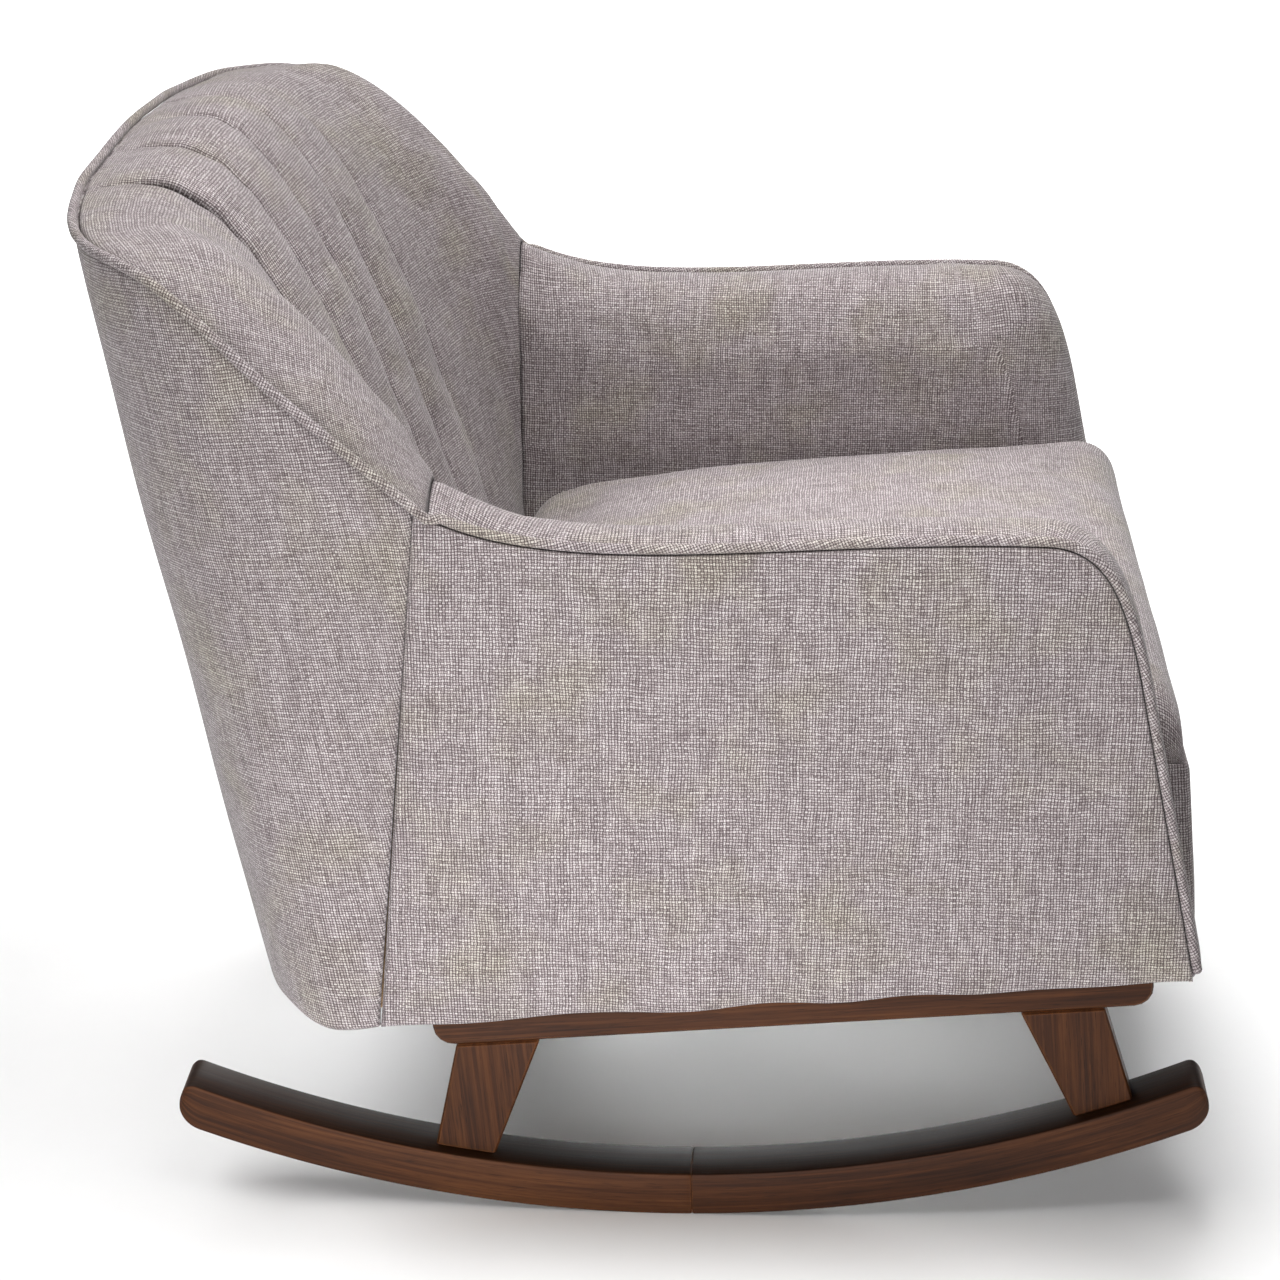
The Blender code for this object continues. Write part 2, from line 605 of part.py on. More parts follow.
between("seat_cover", seat_grid(0.0, SEAT_EDGE), seat_grid(FABRIC, SEAT_EDGE), FABRIC_COVER)
top = seat_grid(FABRIC + 0.0010, FOAM_LOW + 0.0060)
base = top.copy()
for point in base.reshape(-1, 3):
    q = point[1] * cos(TILT) - point[2] * sin(TILT)
    point[1:] = tilted(q, FOAM_LOW)
between("seat_foam", top, base, FOAM)
tilted_box(
    "front_border", (-SEAT_HALF, SEAT_HALF), (SEAT_FRONT - PANEL, SEAT_FRONT), (BOX_BOTTOM, SEAT_EDGE - GAP),
    FABRIC_COVER,
)

# ---------------------------------------------------------------- springs
SPRING_START, SPRING_END = -0.3480, 0.1160
SPRING_TURNS = 13
SPRING_HALF_WIDTH = 0.0220
SPRING_ARCH = 0.0090
SPRING_LINES = (-0.189, -0.063, 0.063, 0.189)


def spring_path(x):
    steps = SPRING_TURNS * 4
    path = []
    for k in range(steps + 1):
        t = k / steps
        q = SPRING_START + (SPRING_END - SPRING_START) * t
        h = FRAME_HIGH + WIRE_RADIUS + GAP + SPRING_ARCH * sin(pi * t)
        path.append((x + SPRING_HALF_WIDTH * sin(pi * SPRING_TURNS * t), *tilted(q, h)))
    return path


for number, x in enumerate(SPRING_LINES, 1):
    tube("seat_spring_" + str(number), spring_path(x), WIRE_RADIUS, STEEL, sides=5)

# ---------------------------------------------------------------- dust cloth, dowels and bolts
half, (front, corner, rear), rear_half = SEAT_HALF, (-0.3800, 0.1900, 0.2450), 0.2300
plan = [(-half, front), (half, front), (half, corner), (rear_half, rear), (-rear_half, rear), (-half, corner)]
sheets = [[(x, *tilted(q, h)) for x, q in plan] for h in (CLOTH_LOW, CLOTH_HIGH)]
cloth = rings("dust_cloth", sheets, DUST_CLOTH)

for side, sign in SIDES.items():
    for place, q in CROSS_RAILS.items():
        x = sign * BOLT_X
        head_radius, head_height = BOLT_HEAD
        head, tip = CROSS_LOW - head_height - GAP, FRAME_LOW + BOLT_INTO_FRAME
        under = CROSS_LOW - GAP
        shape = ((head, head_radius), (under, head_radius), (under, BOLT_RADIUS), (tip, BOLT_RADIUS))
        loops = []
        for h, radius in shape:
            turned = [2 * pi * k / 10 for k in range(10)]
            loops.append([(x + radius * cos(a), *tilted(q + radius * sin(a), h)) for a in turned])
        rings("base_bolt_" + place + "_" + side, loops, STEEL, rounded=True)
        start, end = (x, *tilted(q, head - 0.01)), (x, *tilted(q, tip + GAP))
        for target in (cross_rails[place], cloth, seat_rails[place]):
            drill(target, start, end, BOLT_RADIUS + 0.0002)

for (side, place), leg in legs.items():
    foot = sum(LEGS[place][1]) / 2
    x = SIDES[side] * (LEG_IN + LEG_OUT) / 2
    surface = arc_point(ROCKER_RADIUS - ROCKER_THICK, np.arcsin(foot / ROCKER_RADIUS))[1]
    start, end = (x, foot, surface - DOWEL_DOWN), (x, foot, surface + DOWEL_UP)
    rod(start, end, DOWEL_RADIUS, "leg_dowel_" + place + "_" + side, HARDWOOD, sides=10)
    hole = (x, foot, surface - DOWEL_DOWN - GAP), (x, foot, surface + DOWEL_UP + GAP)
    for target in (leg, rockers[side, place]):
        drill(target, *hole, DOWEL_RADIUS)

for side, sign in SIDES.items():
    middle, reach = ROCKER_RADIUS - ROCKER_THICK / 2, JOINT_DOWEL_REACH
    x = sign * (ROCKER_IN + ROCKER_OUT) / 2
    at = np.array((x, *arc_point(middle, ROCKER_MIDDLE)))
    way = np.array((0, cos(ROCKER_MIDDLE), sin(ROCKER_MIDDLE)))
    rod(at - way * reach, at + way * reach, DOWEL_RADIUS, "rocker_joint_dowel_" + side, HARDWOOD, sides=10)
    for place in ("front", "rear"):
        drill(rockers[side, place], at - way * (reach + GAP), at + way * (reach + GAP), DOWEL_RADIUS)

# The origin goes to the middle of the floor plan, at the rockers' lowest faces.
shown = [made for made in bpy.data.objects if not made.hide_render]
corners = np.array([corner.co for made in shown for corner in made.data.vertices])
low, high = corners.min(axis=0), corners.max(axis=0)
for made in bpy.data.objects:
    made.location = 0, -(low[1] + high[1]) / 2, -low[2]
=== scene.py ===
from math import cos, pi, radians, sin, sqrt

import bmesh
import bpy
import numpy as np
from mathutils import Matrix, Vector


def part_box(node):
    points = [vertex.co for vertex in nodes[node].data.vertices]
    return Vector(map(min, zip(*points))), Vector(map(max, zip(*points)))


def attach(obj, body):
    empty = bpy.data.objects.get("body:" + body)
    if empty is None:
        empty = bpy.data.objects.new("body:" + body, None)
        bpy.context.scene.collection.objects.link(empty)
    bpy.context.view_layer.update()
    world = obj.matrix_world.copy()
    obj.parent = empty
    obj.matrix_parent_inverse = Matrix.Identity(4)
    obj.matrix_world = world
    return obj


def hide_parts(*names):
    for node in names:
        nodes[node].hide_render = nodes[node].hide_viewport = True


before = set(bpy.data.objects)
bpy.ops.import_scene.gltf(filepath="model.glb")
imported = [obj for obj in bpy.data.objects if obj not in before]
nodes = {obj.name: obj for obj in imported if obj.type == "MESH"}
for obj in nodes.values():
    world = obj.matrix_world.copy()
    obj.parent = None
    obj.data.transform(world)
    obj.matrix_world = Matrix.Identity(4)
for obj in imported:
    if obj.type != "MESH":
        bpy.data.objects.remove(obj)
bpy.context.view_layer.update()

# ---- dimensions, as in the part's source
TILT = radians(5.2)             # lean of the seat box, front higher
HALF_WIDTH = 0.3605             # outside arm panel to the middle plane
ARM_OUT, ARM_INNER = 0.3562, 0.284
BOX_BOTTOM = 0.2045
FABRIC = 0.0022
ROCKER_RADIUS, ROCKER_THICK = 0.9408, 0.0322
ROCKER_OUT, ROCKER_IN = 0.2694, 0.2284
ROCKER_MIDDLE, ROCKER_HALF_ANGLE = radians(-1.65), radians(23.10)
CHANNEL_WIDTH, CHANNEL_PUFF, WING_STEP, WING_PUFF = 0.087, 0.0125, 0.07, 0.006
WELT_RADIUS = 0.0034
PRESSURE, MOST_INWARD = 3.0, 0.0003     # inside a simulated cover, and how far it may move in
SEAT_HALF = 0.2835
SEAT_FRONT, SEAT_REAR = -0.384, 0.099
SEAT_EDGE, SEAT_TOP, SEAT_CROWN, SEAT_ROUND = 0.329, 0.385, 0.017, 0.03
SIDES = {"left": 1, "right": -1}

# The back's top rail tells where the frame has the origin that these dimensions start from.
RAIL_CORNER = (0.342, 0.665)
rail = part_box("back_top_rail")[1]
ORIGIN = np.array((0.0, rail.y - RAIL_CORNER[0], rail.z - RAIL_CORNER[1]))


def tilted(q, h):
    """(y, z) of a point q behind the origin and h above the tilted floor plane."""
    return q * cos(TILT) + h * sin(TILT), h * cos(TILT) - q * sin(TILT)


def untilted(y, z):
    """(q, h) of a point, the other way round from tilted."""
    return y * cos(TILT) - z * sin(TILT), z * cos(TILT) + y * sin(TILT)


def tilted_height(y, h):
    """z of a point at y in the frame and h above the tilted floor plane."""
    return (h - y * sin(TILT)) / cos(TILT)


def bezier(start, first, second, end, count):
    """count + 1 points on a Bezier curve."""
    t = np.linspace(0, 1, count + 1)[:, None]
    start, first, second, end = (np.array(p, float) for p in (start, first, second, end))
    return (1 - t) ** 3 * start + 3 * t * (1 - t) * ((1 - t) * first + t * second) + t ** 3 * end


def smooth(keys, where, level=2):
    """A curve through key rows (position, values...), read at where. Its last level values start flat."""
    keys = np.array(keys, float)
    at, values = keys[:, 0], keys[:, 1:]
    slopes = np.gradient(values, at, axis=0)
    if level:
        slopes[0, -level:] = 0
    where = np.asarray(where, float)
    i = np.clip(np.searchsorted(at, where) - 1, 0, len(at) - 2)
    width = (at[i + 1] - at[i])[:, None]
    t = (where - at[i])[:, None] / width
    a, b, low, high = values[i], values[i + 1], slopes[i] * width, slopes[i + 1] * width
    return (
        (2 * t ** 3 - 3 * t ** 2 + 1) * a + (t ** 3 - 2 * t ** 2 + t) * low
        + (3 * t ** 2 - 2 * t ** 3) * b + (t ** 3 - t ** 2) * high
    )


def lengths(points):
    """Distance travelled along a polyline at each of its points."""
    steps = np.linalg.norm(np.diff(points, axis=0), axis=1)
    return np.concatenate([[0], np.cumsum(steps)])


def resampled(points, count):
    """The polyline with count points at even distances."""
    return at_marks(points, np.linspace(0, lengths(points)[-1], count))


def at_marks(points, marks):
    """The polyline's points at these distances along it."""
    run = lengths(points)
    return np.stack([np.interp(marks, run, column) for column in np.array(points).T], 1)


def rolled_under(height, radius):
    """How far a panel's lower edge turns in, at this height above it."""
    return radius * (1 - np.sqrt(1 - np.clip(1 - height / radius, 0, 1) ** 2))


def normals(grid):
    """Unit normals of a grid of points."""
    found = np.cross(np.gradient(grid, axis=1), np.gradient(grid, axis=0))
    return found / np.linalg.norm(found, axis=2)[:, :, None]


def waves(u, v, size, seed):
    """Smooth random relief between about -1 and 1, with bumps of this size."""
    rng = np.random.default_rng(seed)
    total = np.zeros(np.broadcast(u, v).shape)
    for _ in range(14):
        turn, phase = rng.uniform(0, 2 * pi, 2)
        pace = 2 * pi / size * rng.uniform(0.6, 1.5)
        total += np.sin(pace * (u * cos(turn) + v * sin(turn)) + phase)
    return total / 5


# ---- mesh building
def linked(name, mesh):
    made = bpy.data.objects.new(name, mesh)
    bpy.context.scene.collection.objects.link(made)
    return made


def skin(name, patches, inside):
    """A surface from grids of points and their weave coordinates in metres. It faces away from inside."""
    points, faces, weave = [], [], []
    start = 0
    for grid, uv in patches:
        rows, columns = grid.shape[:2]
        index = np.arange(rows * columns).reshape(rows, columns)
        corners = index[:-1, :-1], index[:-1, 1:], index[1:, 1:], index[1:, :-1]
        quads = np.stack(corners, -1).reshape(-1, 4)
        points.append(grid.reshape(-1, 3))
        at = points[-1][quads]
        turned = np.cross(at[:, 2] - at[:, 0], at[:, 3] - at[:, 1])
        if (turned * (at.mean(axis=1) - inside)).sum() < 0:
            quads = quads[:, ::-1]
        faces.append(quads + start)
        weave.append(uv.reshape(-1, 2)[quads])
        start += rows * columns
    points, faces, weave = np.concatenate(points) + ORIGIN, np.concatenate(faces), np.concatenate(weave)
    mesh = bpy.data.meshes.new(name)
    mesh.from_pydata(points.tolist(), [], faces.tolist())
    layer = mesh.uv_layers.new(name="weave")
    layer.data.foreach_set("uv", weave.reshape(-1).astype(np.float32))
    work = bmesh.new()
    work.from_mesh(mesh)
    bmesh.ops.remove_doubles(work, verts=work.verts, dist=0.00005)
    work.to_mesh(mesh)
    work.free()
    mesh.shade_smooth()
    return linked(name, mesh)


def capped(mesh, cap_uv=None):
    """Closes the mesh's open ends. cap_uv gives a cap's weave coordinates at a point."""
    work = bmesh.new()
    work.from_mesh(mesh)
    bmesh.ops.holes_fill(work, edges=[edge for edge in work.edges if edge.is_boundary], sides=0)
    if cap_uv:
        layer = work.loops.layers.uv["weave"]
        for face in work.faces:
            if len(face.verts) > 4:
                for loop in face.loops:
                    loop[layer].uv = cap_uv(loop.vert.co)
    bmesh.ops.recalc_face_normals(work, faces=work.faces)
    work.to_mesh(mesh)
    work.free()
    mesh.shade_smooth()


def positions(mesh):
    """The mesh's points as rows of an array."""
    flat = np.empty(len(mesh.vertices) * 3, np.float32)
    mesh.vertices.foreach_get("co", flat)
    return flat.reshape(-1, 3).astype(float)


def facing(mesh):
    """The mesh's point normals as rows of an array."""
    flat = np.empty(len(mesh.vertices) * 3, np.float32)
    mesh.vertex_normals.foreach_get("vector", flat)
    return flat.reshape(-1, 3).astype(float)


def put(mesh, points):
    """Moves the mesh's points to these rows."""
    mesh.vertices.foreach_set("co", points.astype(np.float32).ravel())
    mesh.update()


def evened(mesh, values, times, kept):
    """The points' values, moved this many times towards the mean of their neighbours. Those kept stay."""
    edges = np.empty(len(mesh.edges) * 2, np.int32)
    mesh.edges.foreach_get("vertices", edges)
    starts, ends = edges.reshape(-1, 2).T
    for _ in range(times):
        total, count = np.zeros_like(values), np.zeros(len(values))
        for a, b in ((starts, ends), (ends, starts)):
            np.add.at(total, a, values[b])
            np.add.at(count, a, 1)
        values = np.where(kept[:, None], values, (values + total / count[:, None]) / 2)
    return values


def swell(made, held, cap, slack, frames=20):
    """Cloth simulation: blown out by pressure where it isn't held, by at most cap. slack adds cloth."""
    before = positions(made.data)
    group = made.vertex_groups.new(name="held")
    group.add(np.flatnonzero(held).tolist(), 1.0, "REPLACE")
    cloth = made.modifiers.new("swell", "CLOTH")
    settings = cloth.settings
    settings.quality, settings.mass = 5, 0.25
    settings.tension_stiffness = settings.compression_stiffness = 25
    settings.shear_stiffness = 10
    settings.bending_stiffness = 0.6
    settings.vertex_group_mass = "held"
    settings.use_pressure = True
    settings.uniform_pressure_force = PRESSURE
    settings.shrink_min = -slack
    settings.effector_weights.gravity = 0
    cloth.collision_settings.use_collision = False
    cloth.point_cache.frame_start, cloth.point_cache.frame_end = 1, frames
    scene = bpy.context.scene
    for number in range(1, frames + 1):
        scene.frame_set(number)
    graph = bpy.context.evaluated_depsgraph_get()
    after = positions(made.evaluated_get(graph).data)
    made.modifiers.remove(cloth)
    scene.frame_set(1)
    move = evened(made.data, after - before, 4, held)
    outward = facing(made.data)
    along = (move * outward).sum(axis=1)
    move -= np.minimum(along + MOST_INWARD, 0)[:, None] * outward
    size = np.linalg.norm(move, axis=1)
    size[size == 0] = 1
    put(made.data, before + move * (cap * np.tanh(size / cap) / size)[:, None])
    made.vertex_groups.remove(group)


def thickened(made, amount):
    """The open skin made a closed one, with its back this far behind."""
    shell = made.modifiers.new("thickness", "SOLIDIFY")
    shell.thickness = amount
    shell.offset = -1
    shell.use_rim = True
    graph = bpy.context.evaluated_depsgraph_get()
    mesh = bpy.data.meshes.new_from_object(made.evaluated_get(graph))
    made.modifiers.remove(shell)
    made.data = mesh
    mesh.shade_smooth()


def finished(made, material, replaced):
    """Gives the piece its material and body, and hides the nodes that it replaces."""
    made.data.materials.clear()
    made.data.materials.append(material)
    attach(made, "root")
    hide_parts(*replaced)


# ---- materials
class Shading:
    """Short calls for building one material's nodes."""

    def __init__(self, name):
        self.material = bpy.data.materials.new(name)
        self.material.use_nodes = True
        self.tree = self.material.node_tree
        self.shader = self.tree.nodes["Principled BSDF"]

    def put(self, socket, value):
        if isinstance(value, bpy.types.NodeSocket):
            self.tree.links.new(value, socket)
        else:
            socket.default_value = value

    def node(self, kind, output, values, **settings):
        made = self.tree.nodes.new("ShaderNode" + kind)
        for key, value in settings.items():
            setattr(made, key, value)
        for key, value in values.items():
            self.put(made.inputs[key], value)
        return made.outputs[output]

    def math(self, operation, a, b=0.0):
        return self.node("Math", 0, {0: a, 1: b}, operation=operation)

    def times(self, a, b):
        return self.math("MULTIPLY", a, b)

    def vector(self, operation, a, b=(0, 0, 0)):
        return self.node("VectorMath", 0, {0: a, 1: b}, operation=operation)

    def join(self, x, y, z=0.0):
        return self.node("CombineXYZ", 0, {0: x, 1: y, 2: z})

    def split(self, vector):
        made = self.tree.nodes.new("ShaderNodeSeparateXYZ")
        self.put(made.inputs[0], vector)
        return made.outputs

    def noise(self, vector, scale, detail=2.0, roughness=0.5, output="Fac"):
        values = {"Vector": vector, "Scale": scale, "Detail": detail, "Roughness": roughness}
        return self.node("TexNoise", output, values)

    def ramp(self, factor, stops):
        made = self.tree.nodes.new("ShaderNodeValToRGB")
        self.put(made.inputs[0], factor)
        while len(made.color_ramp.elements) < len(stops):
            made.color_ramp.elements.new(0.5)
        for element, (place, colour) in zip(made.color_ramp.elements, stops):
            element.position = place
            element.color = (*colour, 1)
        return made.outputs[0]

    def shaded(self, colour, by):
        """The colour times a number."""
        return self.mix(1.0, colour, self.join(by, by, by), "MULTIPLY")

    def mix(self, factor, a, b, blend="MIX"):
        made = self.tree.nodes.new("ShaderNodeMix")
        made.data_type = "RGBA"
        made.blend_type = blend
        self.put(made.inputs[0], factor)
        self.put(made.inputs[6], a)
        self.put(made.inputs[7], b)
        return made.outputs[2]

    def span(self, value, low, high, to_low, to_high):
        made = self.tree.nodes.new("ShaderNodeMapRange")
        for socket, given in zip(made.inputs[:5], (value, low, high, to_low, to_high)):
            self.put(socket, given)
        return made.outputs[0]

    def finish(self, colour, roughness, height, distance, strength=0.7, **uniform):
        self.put(self.shader.inputs["Base Color"], colour)
        self.put(self.shader.inputs["Roughness"], roughness)
        bump = self.node("Bump", 0, {"Strength": strength, "Distance": distance, "Height": height})
        self.put(self.shader.inputs["Normal"], bump)
        for key, value in uniform.items():
            self.shader.inputs[key.replace("_", " ")].default_value = value
        return self.material


def woven(name, turn=0.0):
    """Coarse weave in mauve grey, with yarns over and under each other. The weave map is in metres."""
    s = Shading(name)
    pitch = 0.00195
    cloth = s.node("UVMap", 0, {}, uv_map="weave")
    if turn:
        cloth = s.node("VectorRotate", 0, {"Vector": cloth, "Angle": turn}, rotation_type="Z_AXIS")
    wander = s.vector("SUBTRACT", s.noise(cloth, 24.0, 3.0, 0.6, "Color"), (0.5, 0.5, 0.5))
    x, y, _ = s.split(s.vector("ADD", cloth, s.vector("MULTIPLY", wander, (0.0045, 0.0045, 0))))
    warp, weft = s.math("DIVIDE", x, pitch), s.math("DIVIDE", y, pitch)
    warp_no, weft_no = s.math("FLOOR", warp), s.math("FLOOR", weft)
    over = s.math("PINGPONG", s.math("ADD", warp_no, weft_no), 1.0)
    across = s.math("ABSOLUTE", s.math("SINE", s.times(warp, pi)))
    along = s.math("ABSOLUTE", s.math("SINE", s.times(weft, pi)))

    def yarn_tone(number, other, seed, length, low, high):
        """Lightness of one yarn: every other yarn is darker, and each fades in and out along itself."""
        place = s.join(s.times(number, 7.31), s.times(other, pitch / length), seed)
        run = s.span(s.noise(place, 1.0, 1.5, 0.55), 0.3, 0.7, low, high)
        return s.math("ADD", run, s.times(s.math("PINGPONG", number, 1.0), -0.09))

    fibre = s.noise(cloth, 1100.0, 2.0, 0.7)
    warp_tone = yarn_tone(warp_no, weft, 3.7, 0.022, 0.64, 1.00)
    weft_tone = yarn_tone(weft_no, warp, 91.3, 0.011, 0.66, 1.04)
    warp_light = s.times(s.math("POWER", across, 0.9), warp_tone)
    weft_light = s.times(s.math("POWER", along, 0.9), weft_tone)
    warp_light = s.times(warp_light, s.span(over, 0.0, 1.0, 1.0, 0.44))
    weft_light = s.times(weft_light, s.span(over, 0.0, 1.0, 0.44, 1.0))
    value = s.math("MAXIMUM", warp_light, weft_light)
    column = s.join(s.times(s.math("ROUND", warp), 5.13), s.times(weft, 0.045), 40.0)
    gap = s.span(s.noise(column, 1.0, 1.5, 0.6), 0.35, 0.65, 0.92, 0.4)
    value = s.times(value, s.span(across, 0.0, 0.85, gap, 1.0))
    row = s.join(s.times(s.math("ROUND", weft), 5.13), s.times(warp, 0.06), 70.0)
    gap = s.span(s.noise(row, 1.0, 1.5, 0.6), 0.35, 0.65, 0.98, 0.66)
    value = s.times(value, s.span(along, 0.0, 0.85, gap, 1.0))
    cell = s.node("TexWhiteNoise", 0, {"Vector": s.join(warp_no, weft_no)}, noise_dimensions="2D")
    value = s.math("ADD", value, s.times(s.math("SUBTRACT", cell, 0.5), 0.14))
    value = s.math("ADD", value, s.times(s.math("SUBTRACT", fibre, 0.5), 0.95))
    colour = s.ramp(value, (
        (0.1, (0.062, 0.046, 0.049)), (0.38, (0.158, 0.129, 0.132)), (0.62, (0.327, 0.283, 0.286)),
        (0.82, (0.516, 0.472, 0.472)), (1.00, (0.617, 0.584, 0.58)),
    ))
    patches = s.span(s.noise(cloth, 13.0, 3.0, 0.55), 0.48, 0.7, 0.0, 0.8)
    beige = s.mix(1.0, colour, (0.96, 0.98, 0.82, 1), "MULTIPLY")
    colour = s.mix(patches, colour, beige)
    # painted shade: the colour darkens to about a quarter where the mesh's seam shade attribute is set
    seam_painted_shade = s.node("Attribute", "Fac", {}, attribute_name="seam_painted_shade")
    colour = s.shaded(colour, s.span(seam_painted_shade, 0.0, 1.0, 1.0, 0.28))
    colour = s.shaded(colour, s.span(s.noise(cloth, 42.0, 3.0, 0.6), 0.3, 0.7, 0.95, 1.05))
    height = s.math("ADD", s.times(value, 0.8), s.times(fibre, 0.3))
    return s.finish(
        colour, s.span(fibre, 0.3, 0.7, 0.84, 0.96), height, 0.0004,
        Sheen_Weight=0.15, Sheen_Roughness=0.5, Specular_IOR_Level=0.25,
    )


def wood(name, dark, mid, light, gloss, length=None, painted_top_shade=False):
    """Wood with its grain along one axis, or along the weave map. Its flag for the top darkens what faces
    up: painted shade.
    """
    s = Shading(name)
    place, normal = s.node("TexCoord", "Object", {}), s.node("NewGeometry", "Normal", {})
    if length is None:
        x, y, _ = s.split(s.node("UVMap", 0, {}, uv_map="weave"))
        z = s.split(place)[0]
    else:
        place = s.node("VectorRotate", 0, {"Vector": place, "Angle": TILT}, rotation_type="X_AXIS")
        x, y, z = s.split(place)
        x, y, z = {"X": (x, y, z), "Y": (y, x, z), "Z": (z, x, y)}[length]

    def stretched(along, across):
        """The place with this many noise cells to the metre along the grain and across it."""
        return s.join(*(s.times(*pair) for pair in ((x, along), (y, across), (z, across))))

    figure = s.node("TexNoise", "Fac", {
        "Vector": stretched(5.0, 70.0), "Scale": 1.0, "Detail": 6.0, "Roughness": 0.62, "Distortion": 0.8,
    })
    broad = s.noise(stretched(2.2, 12.0), 1.0, 2.0, 0.5)
    pores = s.noise(stretched(60.0, 1500.0), 1.0, 2.0, 0.6)
    streak = s.noise(stretched(9.0, 420.0), 1.0, 3.0, 0.6)
    tone = s.math("ADD", s.times(figure, 0.55), s.times(broad, 0.45))
    tone = s.math("ADD", tone, s.times(s.math("SUBTRACT", streak, 0.5), 0.6))
    colour = s.ramp(tone, ((0.3, dark), (0.5, mid), (0.72, light)))
    pit = s.span(pores, 0.3, 0.42, 0.45, 1.0)
    colour = s.shaded(colour, pit)
    # painted shade: what faces up is darkened, standing in for the shadow over the rockers' tops
    if painted_top_shade:
        colour = s.shaded(colour, s.span(s.split(normal)[2], 0.55, 0.85, 1.0, 0.3))
    # lighter along convex edges: partly edge wear, partly a painted highlight along the edge lines
    bevel = s.node("Bevel", 0, {"Radius": 0.0016}, samples=4)
    edge = s.node("VectorMath", 1, {0: bevel, 1: normal}, operation="DOT_PRODUCT")
    edge = s.span(edge, 0.995, 0.93, 0.0, 1.0)
    edge_wear_and_highlight = s.times(edge, s.span(s.noise(stretched(30.0, 60.0), 1.0, 3.0), 0.4, 0.65, 0.1, 0.75))
    colour = s.mix(edge_wear_and_highlight, colour, (*[min(1, 1.9 * c) for c in light], 1))
    roughness = s.span(figure, 0.3, 0.7, gloss, gloss + 0.14)
    height = s.math("ADD", s.times(pit, 0.6), s.times(streak, 0.4))
    return s.finish(colour, roughness, height, 0.00012, 0.5, Specular_IOR_Level=0.22)


def plain(name, dark, light, scale, rough, bump, metal=0.0, stretch=(1, 1, 1), sheen=0.0):
    """A material that varies between two tones, by noise at this scale."""
    s = Shading(name)
    place = s.vector("MULTIPLY", s.node("TexCoord", "Object", {}), stretch)
    fine = s.noise(place, scale, 4.0, 0.65)
    coarse = s.noise(place, scale / 12, 2.0, 0.5)
    tone = s.math("ADD", s.times(fine, 0.6), s.times(coarse, 0.4))
    colour = s.ramp(tone, ((0.32, dark), (0.68, light)))
    roughness = s.span(fine, 0.3, 0.7, *rough)
    return s.finish(colour, roughness, fine, bump, Metallic=metal, Sheen_Weight=sheen)


FABRIC_MAT = woven("woven_mauve_fabric")
BIAS_MAT = woven("woven_mauve_fabric_bias", radians(20))
WALNUT_TONES = (0.018, 0.0049, 0.001), (0.05, 0.015, 0.0034), (0.106, 0.036, 0.0098)
# the rockers' wood has painted shade on the faces that point up
ROCKER_WOOD = wood("walnut_rocker", *WALNUT_TONES, 0.46, painted_top_shade=True)
RAIL_WOOD = wood("walnut_rail", *WALNUT_TONES, 0.46, "Y")
CROSS_WOOD = wood("walnut_cross_rail", *WALNUT_TONES, 0.46, "X")
LEG_WOOD = wood("walnut_leg", *WALNUT_TONES, 0.46, "Z")
BARE_TONES = (0.36, 0.21, 0.1), (0.52, 0.34, 0.18), (0.66, 0.47, 0.28)
FRAME_WOOD = {axis: wood("frame_hardwood_" + axis, *BARE_TONES, 0.6, axis) for axis in "XYZ"}
FOAM_MAT = plain("open_cell_foam", (0.62, 0.54, 0.36), (0.86, 0.8, 0.62), 900.0, (0.9, 1.0), 0.0006)
STEEL_MAT = plain("drawn_steel_wire", (0.22, 0.22, 0.23), (0.46, 0.46, 0.47), 500.0, (0.28, 0.5), 0.0001,
                  metal=1.0)
WEB_MAT = plain("elastic_webbing", (0.05, 0.05, 0.055), (0.2, 0.2, 0.21), 260.0, (0.75, 0.9), 0.0005,
                stretch=(1, 4, 8))
CLOTH_MAT = plain("black_nonwoven", (0.014, 0.014, 0.015), (0.05, 0.05, 0.052), 700.0, (0.85, 0.97),
                  0.0003, sheen=0.1)

# ---- carried-over nodes
NODE_MATERIALS = (
    (("leg_front", "leg_rear"), LEG_WOOD), (("base_side",), RAIL_WOOD), (("base_cross",), CROSS_WOOD),
    (("seat_spring", "base_bolt"), STEEL_MAT), (("back_webbing",), WEB_MAT),
    (("back_post", "leg_dowel"), FRAME_WOOD["Z"]),
    (("seat_side_rail", "arm_frame", "rocker_joint"), FRAME_WOOD["Y"]), (("",), FRAME_WOOD["X"]),
)
for name, node in nodes.items():
    node.data.materials.clear()
    node.data.materials.append(next(made for starts, made in NODE_MATERIALS if name.startswith(starts)))


# ---- rockers
def rocker_loop(angle, bottom, top, inset, rounding=0.0018, steps=3):
    """A rocker's section across its arc, edges rounded. bottom and top are heights over the underside."""
    corners = (
        (ROCKER_IN + inset, bottom, 1, 1, pi), (ROCKER_OUT - inset, bottom, -1, 1, 1.5 * pi),
        (ROCKER_OUT - inset, top, -1, -1, 0.0), (ROCKER_IN + inset, top, 1, -1, 0.5 * pi),
    )
    loop = []
    for x, high, right, up, turn in corners:
        for k in range(steps + 1):
            a = turn + pi / 2 * k / steps
            at_x = x + right * rounding + rounding * cos(a)
            at_r = ROCKER_RADIUS - (high + up * rounding + rounding * sin(a))
            loop.append((at_x, at_r * sin(angle), ROCKER_RADIUS - at_r * cos(angle)))
    return np.array(loop)


